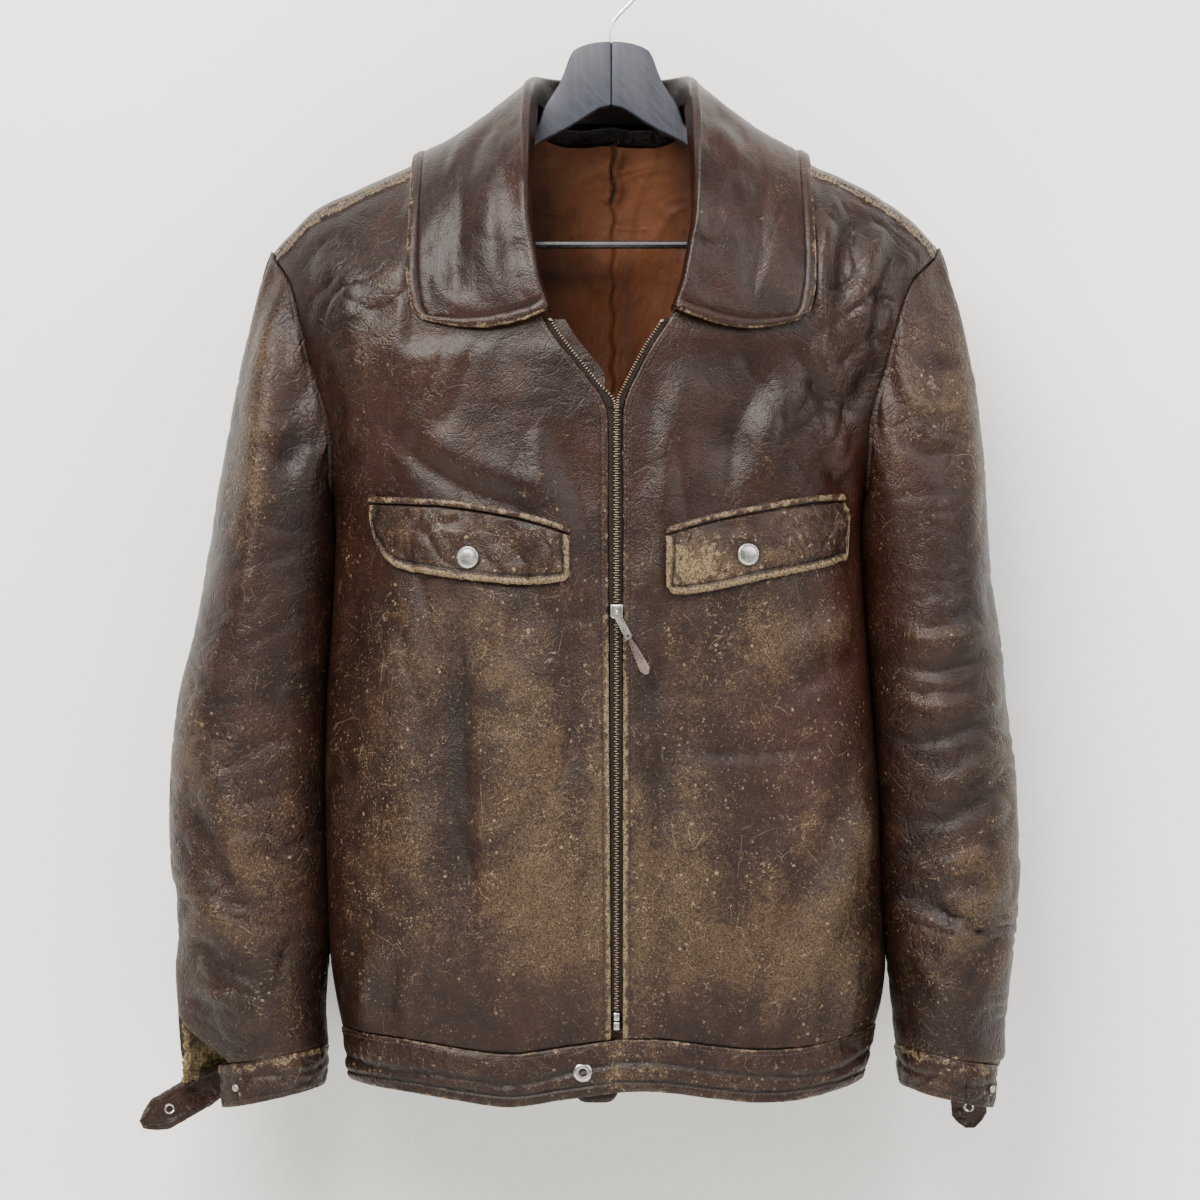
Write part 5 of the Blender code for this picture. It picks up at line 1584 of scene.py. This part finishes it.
def repeat(name, base, places):
    """One mesh of many copies of a base mesh: each place has an origin and the
    directions of the base's X, Y and Z, already scaled."""
    points = np.array([v.co[:] for v in base.vertices])
    faces = [tuple(p.vertices) for p in base.polygons]
    all_points, all_faces = [], []
    for origin, x, y, z in places:
        shift = len(all_points) * len(points)
        all_points.append(origin + points[:, :1] * x + points[:, 1:2] * y + points[:, 2:] * z)
        all_faces.extend(tuple(i + shift for i in face) for face in faces)
    mesh = bpy.data.meshes.new(name)
    mesh.from_pydata(np.concatenate(all_points).tolist(), [], all_faces)
    return linked(name, mesh)


def strewn(name, base, places, finish, nodes=(), degrees=40):
    """Copies of a base mesh as one dressed piece."""
    dress(repeat(name, base, places), finish, nodes, degrees=degrees)


def take_mesh(item):
    """A finished base's mesh, with the object removed."""
    mesh = item.data
    bpy.data.objects.remove(item)
    return mesh


def in_edit(item):
    activate(item)
    bpy.ops.object.mode_set(mode="EDIT")
    bpy.ops.mesh.select_mode(type="VERT")
    bpy.ops.mesh.select_all(action="SELECT")


def out_of_edit():
    bpy.ops.mesh.select_all(action="SELECT")
    bpy.ops.mesh.normals_make_consistent(inside=False)
    bpy.ops.object.mode_set(mode="OBJECT")


def turned(name, profile, closed=False, steps=40):
    """A round part from radius and height pairs, extruded ring by ring."""
    radius, height = profile[0]
    item = primitive(name, "circle", vertices=steps, radius=radius, location=(0, 0, height))
    in_edit(item)
    if not closed:
        bpy.ops.mesh.edge_face_add()
        bpy.ops.mesh.select_all(action="SELECT")
        bpy.ops.mesh.duplicate()
    for next_radius, next_height in profile[1:]:
        bpy.ops.mesh.extrude_region_move(
            TRANSFORM_OT_translate={"value": (0, 0, next_height - height)})
        scale = next_radius / radius
        bpy.ops.transform.resize(value=(scale, scale, 1), center_override=(0, 0, 0))
        radius, height = next_radius, next_height
    bpy.ops.mesh.select_all(action="SELECT")
    bpy.ops.mesh.remove_doubles(threshold=0.00001)
    out_of_edit()
    return item


def aim(item, place, outward):
    item.rotation_mode = "QUATERNION"
    item.rotation_quaternion = Vector(outward).to_track_quat("Z", "Y")
    item.location = place
    settle(item)


def cap_profile(radius, height):
    """A snap cap: a rolled rim, a shallow groove and a low dome."""
    return [(radius * 0.92, 0), (radius, height * 0.25), (radius, height * 0.55),
            (radius * 0.95, height * 0.82), (radius * 0.88, height * 0.88),
            (radius * 0.80, height * 0.80), (radius * 0.72, height * 0.82),
            (radius * 0.50, height * 0.95), (radius * 0.25, height), (radius * 0.02, height)]


def ring_profile(radius, hole, height):
    """An eyelet: a flared ring with a rolled inner edge, closed on itself."""
    middle = (radius + hole) / 2
    return [(hole, 0), (radius, 0), (radius * 0.98, height * 0.55), (middle, height),
            (hole * 1.12, height * 0.80), (hole, height * 0.45), (hole, 0)]


def rounded_block(name, size, place=(0, 0, 0), offset=0.0005, segments=3):
    item = primitive(name, "cube", size, size=1, location=place)
    in_edit(item)
    bpy.ops.mesh.bevel(offset=offset, segments=segments, affect="EDGES")
    out_of_edit()
    return item


def thread_base():
    """A stitch along X: a six-sided bead with drawn-in ends."""
    item = primitive("stitch", "cylinder", vertices=6, radius=0.5, depth=0.6, end_fill_type="NGON",
                     rotation=(0, math.pi / 2, 0))
    in_edit(item)
    bpy.ops.mesh.select_mode(type="FACE")
    bpy.ops.mesh.select_all(action="DESELECT")
    for end in (1, -1):
        bpy.ops.object.mode_set(mode="OBJECT")
        for face in item.data.polygons:
            face.select = face.normal.x * end > 0.9
        bpy.ops.object.mode_set(mode="EDIT")
        bpy.ops.mesh.extrude_region_move(TRANSFORM_OT_translate={"value": (0.2 * end, 0, 0)})
        bpy.ops.transform.resize(value=(1, 0.4, 0.4), center_override=(0.5 * end, 0, 0))
    out_of_edit()
    return take_mesh(item)


def zip_edge(side, z, off, back):
    """Points beside a front's edge: off into the opening, back behind the face."""
    sign = SIGN[side]
    edge = FRONT_EDGE.at(side, z)
    return surface(sign * (edge - off), z, 1.0, True) + np.array([0, back, 0])


def teeth_off(side, z):
    """How far a row of teeth stands off the leather; the rows meet at the chain's top."""
    met = np.abs(SIGN[side] * FRONT_EDGE.at(side, z) - ZIP_X) - 0.0009
    joining = ease(CHAIN_TOP_Z + 0.016, CHAIN_TOP_Z, z)
    return TEETH_OFF + (met - TEETH_OFF) * joining


def teeth_line(side, z):
    return zip_edge(side, z, teeth_off(side, z), -0.0004)


def make_zip():
    """Build the zip's tapes, teeth and stops."""
    tooth = take_mesh(rounded_block("zip_tooth", (0.0027, 0.0015, 0.0012), offset=0.0003, segments=2))
    for side in SIDES:
        sign = SIGN[side]
        z = np.linspace(ZIP_TOP_Z, CHAIN_TOP_Z + 0.0005, 48)[:, None]
        off = row(np.array([0.0006, 0.0020, 0.0032, 0.0042]), sign < 0)
        off = off * teeth_off(side, z) / TEETH_OFF
        grid = zip_edge(side, z + 0 * off, off, 0.0004)
        cover("zip_tape_" + side, grid, None, 0.0009, kind="cloth", finish="tape", slot="zip_tape",
              flat=(0.010, 0.080), rests_on=["front_" + side + "_leather"], area=0.00029)
        places = []
        heights = np.arange(ZIP_TOP_Z - 0.004, CHAIN_TOP_Z + 0.0006, -TOOTH_PITCH * 0.52)
        heights = heights - (0 if sign < 0 else TOOTH_PITCH * 0.26)
        line = teeth_line(side, heights)
        ahead = unit(teeth_line(side, heights - 0.002) - line)
        for point, down in zip(line, ahead):
            across = np.array([-down[2], 0, down[0]]) * -sign
            across = across / np.linalg.norm(across)
            places.append((point, across * 0.72, np.array([0, 1.0, 0]), -down * 0.66))
        # square top stop
        places.append((line[0] - ahead[0] * 0.0030, across, np.array([0, 1.3, 0]), ahead[0] * 2.2))
        strewn("zip_teeth_" + side + "_metal", tooth, places, "brass", ["zip_teeth_" + side])
    z = np.linspace(CHAIN_TOP_Z + 0.0014, ZIP_FOOT_Z, 200)[:, None]
    share = np.linspace(0, 1, 8)[None, :]
    first = 0.0008 - FRONT_EDGE.at("right", z)
    last = FRONT_EDGE.at("left", z) - 0.0008
    grid = surface(first + (last - first) * share, z + 0 * share, 1.0, True) + np.array([0, 0.0016, 0])
    cover("zip_tape_closed", grid, None, 0.0008, kind="cloth", finish="tape", slot="zip_tape",
          flat=(0.0105, 0.430), rests_on=["front_right_leather", "front_left_leather"], area=0.0037)
    for name, high, low, wide, deep in (
            ("upper", CHAIN_TOP_Z, SLIDER_Z + 0.0060, 1.25, 1.0),
            ("lower", SLIDER_Z - 0.0060, ZIP_FOOT_Z, 0.95, 0.8)):
        places = []
        for i, height in enumerate(np.arange(high, low, -TOOTH_PITCH / 2)):
            aside = 0.00045 if i % 2 else -0.00045
            point = surface(ZIP_X + aside, height, 1.0, True) + np.array([0, 0.0005, 0])
            places.append((point, *np.diag([wide, deep, 0.62])))
        strewn("zip_chain_" + name + "_metal", tooth, places, "brass", ["zip_chain_" + name])
    places = []
    for drop in (0.0035, 0.0100):
        point = surface(ZIP_X, ZIP_FOOT_Z - drop - 0.0008, 1.0, True) + np.array([0, 0.0004, 0])
        places.append((point, *np.diag([1.5, 1.2, 4.4])))
    strewn("zip_end_metal", tooth, places, "steel", ["zip_end"])


HINGE = (0.0066, 0.0015)  # the pull's pin: in front of the leather and below the slider's middle
PULL_TILT = math.radians(27)
PULL_LENGTH = 0.0200
STRIP_LENGTH = 0.0268
STRIP_WALL = 0.0012


def make_pull():
    """Finish the slider, its bridge and rails, and the pull with its leather strip."""
    face = surface(ZIP_X, SLIDER_Z, 1.0, True)
    parts = [primitive("slider_bridge", "torus", (1, 1, 1.5), major_segments=32, minor_segments=10,
                       major_radius=0.0020, minor_radius=0.00065, rotation=(0, math.pi / 2, 0),
                       location=(face[0], face[1] - 0.0052, face[2] - 0.0006))]
    for side in SIDES:
        place = (face[0] + SIGN[side] * 0.0037, face[1] - 0.0030, face[2] + 0.0006)
        parts.append(rounded_block("slider_rail_" + side, (0.0013, 0.0040, 0.0088), place))
    for part in parts:
        dress(part, "steel", degrees=40)
    finish_node("zip_slider", "steel")
    finish_node("zip_pull", "steel")
    hinge = face - np.array([0, HINGE[0], HINGE[1]])
    along = np.array([math.sin(PULL_TILT), 0, -math.cos(PULL_TILT)])
    across = np.array([math.cos(PULL_TILT), 0, math.sin(PULL_TILT)])
    share = crowded(40, 0.0010, STRIP_LENGTH)[:, None]
    side = np.linspace(-1, 1, 16)[None, :]
    width = np.interp(share, (0, 0.12, 0.86, 1.0), (0.0013, 0.0020, 0.0036, 0.0014))
    run = (PULL_LENGTH + 0.0004 + STRIP_LENGTH * share)[..., None]
    bow = -0.0006 * (1 - side ** 2) - 0.0008 * np.sin(share * math.pi) - 0.0002
    grid = hinge + along * run + across * (width * side)[..., None] + stack(0, bow, 0)
    marks = {"rub": 0.2 + 0.5 * share ** 2 + 0.2 * side ** 2, "shine": 0.9, "crease": 0.4,
             "dark": 0.6 * (1 - share) ** 2, "bare": 0.4 * ease(0.90, 1.0, share) + 0 * side}
    cover("zip_pull_strip", grid, marks, STRIP_WALL, finish="strip", slot="strip_leather",
          body="zip_pull", flat=(0.010, 0.027), rests_on=["zip_pull"], area=0.00014)


def strap_grid(side, rows=46, columns=24):
    start, tip = (np.array(p) for p in STRAPS[side])
    along = unit(tip - start)
    square = unit(np.cross(along, np.array([0, 1.0, 0])))
    square = square if square[2] >= 0 else -square
    first = np.array([0, 0, 1.0]) if side == "right" else unit(np.cross(along, [0, 1.0, 0]))
    share = crowded(rows, 0.0012, 0.05)[:, None]
    width = np.interp(share, (0, 0.76, 0.90, 1.0), (1, 1, 0.66, 0.24))
    side_share = (2 * crowded(columns, 0.0012, 0.026) - 1)[None, :]
    across = unit(mix(first, square, np.minimum(1.0, share[:, 0] * 3)))
    middle = start + (tip - start) * share
    bend = 0.0010 * np.sin(share * math.pi)
    normal = unit(np.cross(across, along))
    normal = normal * np.where(normal[:, 1:2] > 0, -1, 1)
    grid = (middle[:, None, :] + across[:, None, :] * (STRAP_WIDTH / 2 * width * side_share)[..., None]
            + normal[:, None, :] * (bend + 0 * side_share)[..., None])
    return grid


STRAP_WALL = 0.0024
STRAP_CUT = {"right": (0.074, 0.0019), "left": (0.047, 0.0012)}


def make_straps():
    """Build both cuff straps."""
    for side in SIDES:
        grid = strap_grid(side)
        lift = 0.0005 * ripple(grid, 0.014, 101) - 0.0007 * crumple(grid, 0.010, 102)
        lift = lift - 0.0006 * line_at(nearest(margins(grid)), 0.0036, 0.0009)
        grid = grid + grid_normals(grid) * lift[..., None]
        marks = {"rub": 0.16 + edge_rub(grid, FREE_EDGES, 0.0025, 0.35) + lift * 120,
                 "shine": 0.6, "crease": 0.5}
        grid = rolled(grid, FREE_EDGES, 0.0008, 0.0012)
        length, area = STRAP_CUT[side]
        cover("cuff_strap_" + side, grid, marks, STRAP_WALL, flat=(0.028, length), area=area,
              rests_on=["cuff_" + side + "_leather"])


STUD_PROFILE = [(0.0015, 0), (0.0015, 0.0010), (0.0026, 0.0012), (0.0026, 0.0019),
                (0.0019, 0.0025), (0.0001, 0.0027)]
STUD_ANGLE = {"right": math.radians(56), "left": math.radians(39)}
BAND_SNAP = (-0.0200, -0.7975)


def make_metal():
    """Build the snap caps, cuff studs, strap eyelets and the waistband's ring snap."""
    for side in SIDES:
        x, z = FLAP_SNAP[side]
        place = skin_at(x, z, FLAP_LIFT + FLAP_DROOP * 0.7)
        cap = turned("flap_snap_" + side + "_cap", cap_profile(0.0078, 0.0026))
        aim(cap, place, normal_at(x, turn_at(x, z)))
        parts = [(cap, "flap_snap_" + side)]
        place = cuff_point(side, STUD_ANGLE[side], 0.55)
        away = unit(place - cuff_point(side, STUD_ANGLE[side] + math.pi, 0.55))
        stud = turned("cuff_stud_" + side + "_cap", STUD_PROFILE)
        aim(stud, place + away * 0.0004, away)
        parts.append((stud, "cuff_stud_" + side))
        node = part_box("strap_eyelet_" + side)
        middle = [(node[0][i] + node[1][i]) / 2 for i in range(3)]
        eyelet = turned("strap_eyelet_" + side + "_ring", ring_profile(0.0041, 0.0022, 0.0013))
        start, tip = (Vector(p) for p in STRAPS[side])
        along = (tip - start).normalized()
        square = along.cross(Vector((0, 1, 0))).normalized()
        away = along.cross(square)
        away = -away if away.y > 0 else away
        aim(eyelet, Vector(middle) - away * 0.0005, away)
        parts.append((eyelet, "strap_eyelet_" + side))
        for item, covered in parts:
            dress(item, "stud" if "stud" in covered else "steel", [covered], degrees=50)
    ring = turned("waistband_snap_ring", ring_profile(0.0066, 0.0028, 0.0022), closed=True)
    aim(ring, surface(*BAND_SNAP, 1.0, True) + np.array([0, -0.0012, 0]), (0, -1, 0))
    dress(ring, "steel", ["waistband_snap"], degrees=50)


HANGER_DEPTH = 0.0140
ARM_STATIONS = np.array([  # distance from the middle, upper and lower edge
    (0, -65, -111), (8, -65.3, -112.7), (15, -66.4, -117),
    (21.5, -68.4, -121.2), (27.2, -71.5, -124.7), (30.2, -77, -126.4),
    (33.6, -86.8, -128.3), (37.6, -96.4, -130.4), (43, -104, -133),
    (48.2, -112, -135.6), (52, -124, -137.8), (60, -131.5, -143.4),
    (80, -138.6, -158), (110, -151.2, -177.8), (140, -164, -193.2),
    (170, -178, -208), (190, -187.5, -221.5), (203, -197.5, -222.5),
    (207, -207.5, -218),
]) / MM


def make_arm(side):
    """Half of the wooden hanger, drawn out station by station from its joint."""
    sign = SIGN[side]
    place, top, low = ARM_STATIONS[1]
    arm = primitive("hanger_arm_" + side, "cube", (place, HANGER_DEPTH, top - low), size=1,
                    location=(sign * place / 2, 0, (top + low) / 2))
    in_edit(arm)
    for place, top, low in ARM_STATIONS[2:]:
        bpy.ops.object.mode_set(mode="OBJECT")
        faces = list(arm.data.polygons)
        end = max(faces, key=lambda face: sign * face.center.x * (abs(face.normal.x) > 0.9))
        for item in (faces, arm.data.edges, arm.data.vertices):
            for part in item:
                part.select = False
        end.select = True
        old = end.center.copy()
        heights = [arm.data.vertices[i].co.z for i in end.vertices]
        tall = max(heights) - min(heights)
        bpy.ops.object.mode_set(mode="EDIT")
        bpy.ops.mesh.select_mode(type="FACE")
        middle = Vector((sign * place, 0, (top + low) / 2))
        bpy.ops.mesh.extrude_region_move(TRANSFORM_OT_translate={"value": middle - old})
        bpy.ops.transform.resize(value=(1, 1, (top - low) / tall), center_override=middle)
    bpy.ops.object.mode_set(mode="OBJECT")
    ends = [arm.data.vertices[i] for i in range(8)]
    for vertex in sorted(ends, key=lambda v: abs(v.co.x))[:4]:
        vertex.co.z = ARM_STATIONS[0][1] if vertex.co.z > -0.09 else ARM_STATIONS[0][2]
    in_edit(arm)
    bpy.ops.mesh.select_all(action="DESELECT")
    bpy.ops.object.mode_set(mode="OBJECT")
    for edge in arm.data.edges:
        a, b = (arm.data.vertices[i].co for i in edge.vertices)
        edge.select = abs(a.x - b.x) > 0.0005
    bpy.ops.object.mode_set(mode="EDIT")
    bpy.ops.mesh.select_mode(type="EDGE")
    bpy.ops.mesh.bevel(offset=0.0026, segments=4, affect="EDGES", clamp_overlap=True)
    out_of_edit()
    dress(arm, "wood", ["hanger_wood_" + side], degrees=50)


def make_hanger():
    """Draw out the hanger's two rounded arms; the bar and the hook keep their solids."""
    for side in SIDES:
        make_arm(side)
    finish_node("hanger_bar", "bar")
    finish_node("hanger_hook", "wire")


def finish_node(name, finish):
    item = bpy.data.objects[name]
    item.data.materials.clear()
    item.data.materials.append(look(finish))


# Stitching, laid on the finished outer faces
def inset(name, edge, margin, clear=None):
    """A line this far inside an edge of a kept face, with its directions out;
    it stops short of the other edges by clear."""
    grid = FACES[name]
    tops = margins(grid)
    distance = tops[edge]
    field = np.concatenate([grid, grid_normals(grid)] + [tops[k][..., None] for k in tops], axis=-1)
    if edge in ("first", "last"):
        distance, field = distance.T, field.transpose(1, 0, 2)
    if edge in ("bottom", "last"):
        distance, field = distance[::-1], field[::-1]
    line = []
    for c in range(distance.shape[1]):
        if distance[-1, c] < margin:
            continue
        line.append([np.interp(margin, distance[:, c], field[:, c, k]) for k in range(field.shape[2])])
    line = np.array(line)
    keep = np.ones(len(line), bool)
    for k, other in enumerate(tops):
        if other != edge and clear is not None:
            keep &= line[:, 6 + k] >= clear
    line = line[keep]
    return line[:, :3], unit(line[:, 3:6])


def stitch_places(points, outward, fill=0.72, thick=0.00078):
    """Places of stitches at even steps along a line."""
    steps = np.linalg.norm(np.diff(points, axis=0), axis=1)
    run = np.concatenate([[0], np.cumsum(steps)])
    count = max(2, int(run[-1] / chosen().stitch_pitch))
    places = []
    for i in range(count):
        ends = [np.array([np.interp((i + s) * run[-1] / count, run, points[:, k]) for k in range(3)])
                for s in ((1 - fill) / 2, (1 + fill) / 2)]
        middle = (i + 0.5) * run[-1] / count
        out = unit(np.array([np.interp(middle, run, outward[:, k]) for k in range(3)]))
        along = ends[1] - ends[0]
        side = unit(np.cross(out, along))
        origin = (ends[0] + ends[1]) / 2 + out * thick * 0.18
        places.append((origin, along, side * thick, out * thick * 0.8))
    return places


def make_stitches():
    """Sew along the edges of the pieces."""
    base = thread_base()
    groups = {
        "collar": [("collar", edge, 0.0070, 0.0070) for edge in FREE_EDGES],
        "fronts": [("front_right", "last", 0.0045, None), ("front_left", "first", 0.0045, None)],
        "shoulders": [("back", "top", 0.0028, 0.004), ("front_right", "top", 0.0030, 0.004),
                      ("front_left", "top", 0.0030, 0.004)],
        "waistband": [("waistband_left", "first", 0.0050, 0.006)] + [
            ("waistband_" + part, edge, margin, 0.004) for part in ("right", "left", "back")
            for edge, margin in (("bottom", 0.0065), ("top", 0.0040))],
    }
    for side in SIDES:
        for name, face, margin, edges in (("flap_", "pocket_flap_", 0.0058, FREE_EDGES),
                                          ("cuff_", "cuff_", 0.0045, EDGES),
                                          ("strap_", "cuff_strap_", 0.0036, FREE_EDGES)):
            groups[name + side] = [(face + side, edge, margin, margin) for edge in edges]
    for name, lines in groups.items():
        places = []
        for face, edge, margin, clear in lines:
            points, outward = inset(face, edge, margin, clear)
            if face == "back":
                for half in (points[:, 0] < -0.075, points[:, 0] > 0.075):
                    places += stitch_places(points[half], outward[half])
            elif len(points) > 3:
                places += stitch_places(points, outward)
        strewn("stitches_" + name, base, places, "thread", degrees=60)
    bpy.data.meshes.remove(base)


# Stage
WALL_Y = 0.125
FRAME_WIDTH = 0.852
CAMERA_AWAY = 3.6
CAMERA_X = -0.008
CAMERA_Z = -0.466
SOFT_WHITE = (1.0, 0.98, 0.96)
LIGHTS = [  # name, place, where it points, size, power and colour
    ("key", (-0.80, -1.9, 1.05), (0, 0, -0.42), 1.5, 150, (1.0, 0.955, 0.90)),
    ("fill", (1.5, -2.0, 0.60), (0, 0, -0.50), 1.5, 28, SOFT_WHITE),
    ("top", (0.1, -0.90, 1.45), (0, 0, -0.30), 1.3, 20, SOFT_WHITE),
    ("wall_wash", (1.25, -0.75, 0.10), (0.75, 0.6, -0.35), 0.8, 11, SOFT_WHITE),
]


def make_stage():
    """Set the wall, floor, lights and camera."""
    floor = primitive("studio_floor", "plane", size=8, location=(0, 0.30, -1.30))
    backdrop = primitive("studio_wall", "plane", size=8, location=(0, WALL_Y, 0),
                         rotation=(math.pi / 2, 0, 0))
    plaster = Finish("pale_plaster")
    soft = plaster.noise(0.5, 3.0)
    color = plaster.blend((0.88, 0.88, 0.855), (0.93, 0.93, 0.91), plaster.ramp(soft, 0.35, 0.65))
    plaster.finish(color, 0.9, plaster.bump(plaster.noise(0.006, 4.0), 0.0003))
    for item in (floor, backdrop):
        item.data.materials.append(plaster.made)
    for name, place, aim_at, size, power, color in LIGHTS:
        light = bpy.data.lights.new(name + "_light", "AREA")
        light.size, light.energy, light.color = size, power, color
        lamp = linked(name + "_light", light)
        lamp.location = place
        lamp.rotation_euler = (Vector(aim_at) - Vector(place)).to_track_quat("-Z", "Y").to_euler()
    world = bpy.data.worlds.new("studio_air")
    world.use_nodes = True
    background = world.node_tree.nodes["Background"].inputs
    background["Color"].default_value = (1.0, 0.985, 0.96, 1)
    background["Strength"].default_value = 0.30
    bpy.context.scene.world = world
    camera = bpy.data.cameras.new("studio_camera")
    camera.lens = 36.0 * (CAMERA_AWAY - 0.045) / FRAME_WIDTH
    seen = linked("studio_camera", camera)
    seen.location = (CAMERA_X, -CAMERA_AWAY, CAMERA_Z)
    seen.rotation_euler = (math.pi / 2, 0, 0)
    bpy.context.scene.camera = seen


# The add-on: settings, one operator for each group, and a panel
class CoatSettings(bpy.types.PropertyGroup):
    """Sizes and colours of the coat's finish."""
    hide: FloatVectorProperty(name="Hide", description="Dark colour of the unworn leather",
                              default=HIDE, min=0.0, max=1.0, subtype="COLOR")
    worn: FloatVectorProperty(name="Worn leather", description="Colour of the rubbed leather",
                              default=WORN, min=0.0, max=1.0, subtype="COLOR")
    fold_depth: FloatProperty(name="Fold depth", description="Depth of the folds, 1 as hung",
                              default=1.0, min=0.0, max=1.5, subtype="FACTOR")
    stitch_pitch: FloatProperty(name="Stitch pitch", description="Distance from stitch to stitch",
                                default=STITCH_PITCH, min=0.001, max=0.01, subtype="DISTANCE",
                                unit="LENGTH")


def step(maker):
    """An operator class that runs one maker, named and described by it."""
    def execute(self, context):
        maker()
        return {"FINISHED"}
    name = maker.__name__.removeprefix("make_")
    return type("COAT_OT_" + name, (bpy.types.Operator,), {
        "__doc__": maker.__doc__, "bl_idname": "coat." + name, "execute": execute,
        "bl_label": name.replace("_", " ").capitalize(), "bl_options": {"REGISTER", "UNDO"}})


OPERATORS = [step(maker) for maker in (
    make_fronts, make_back, make_sleeves, make_cuffs, make_collar, make_waistband, make_pockets,
    make_lining, make_facings, make_vent_lining, make_zip, make_pull, make_straps, make_metal,
    make_hanger, make_stitches, make_stage)]


class COAT_PT_panel(bpy.types.Panel):
    """Lists the coat's settings and steps."""
    bl_idname = "COAT_PT_panel"
    bl_label = "Worn leather coat"
    bl_space_type = "VIEW_3D"
    bl_region_type = "UI"
    bl_category = "Coat"

    def draw(self, context):
        for name in ("hide", "worn", "fold_depth", "stitch_pitch"):
            self.layout.prop(context.scene.coat, name)
        for operator in OPERATORS:
            self.layout.operator(operator.bl_idname)


CLASSES = [CoatSettings, *OPERATORS, COAT_PT_panel]


def register():
    for item in CLASSES:
        bpy.utils.register_class(item)
    bpy.types.Scene.coat = PointerProperty(type=CoatSettings)


def unregister():
    del bpy.types.Scene.coat
    for item in reversed(CLASSES):
        bpy.utils.unregister_class(item)


def main():
    register()
    deselect()
    for operator in OPERATORS:
        getattr(bpy.ops.coat, operator.bl_idname.split(".")[1])()


if __name__ == "__main__":
    main()
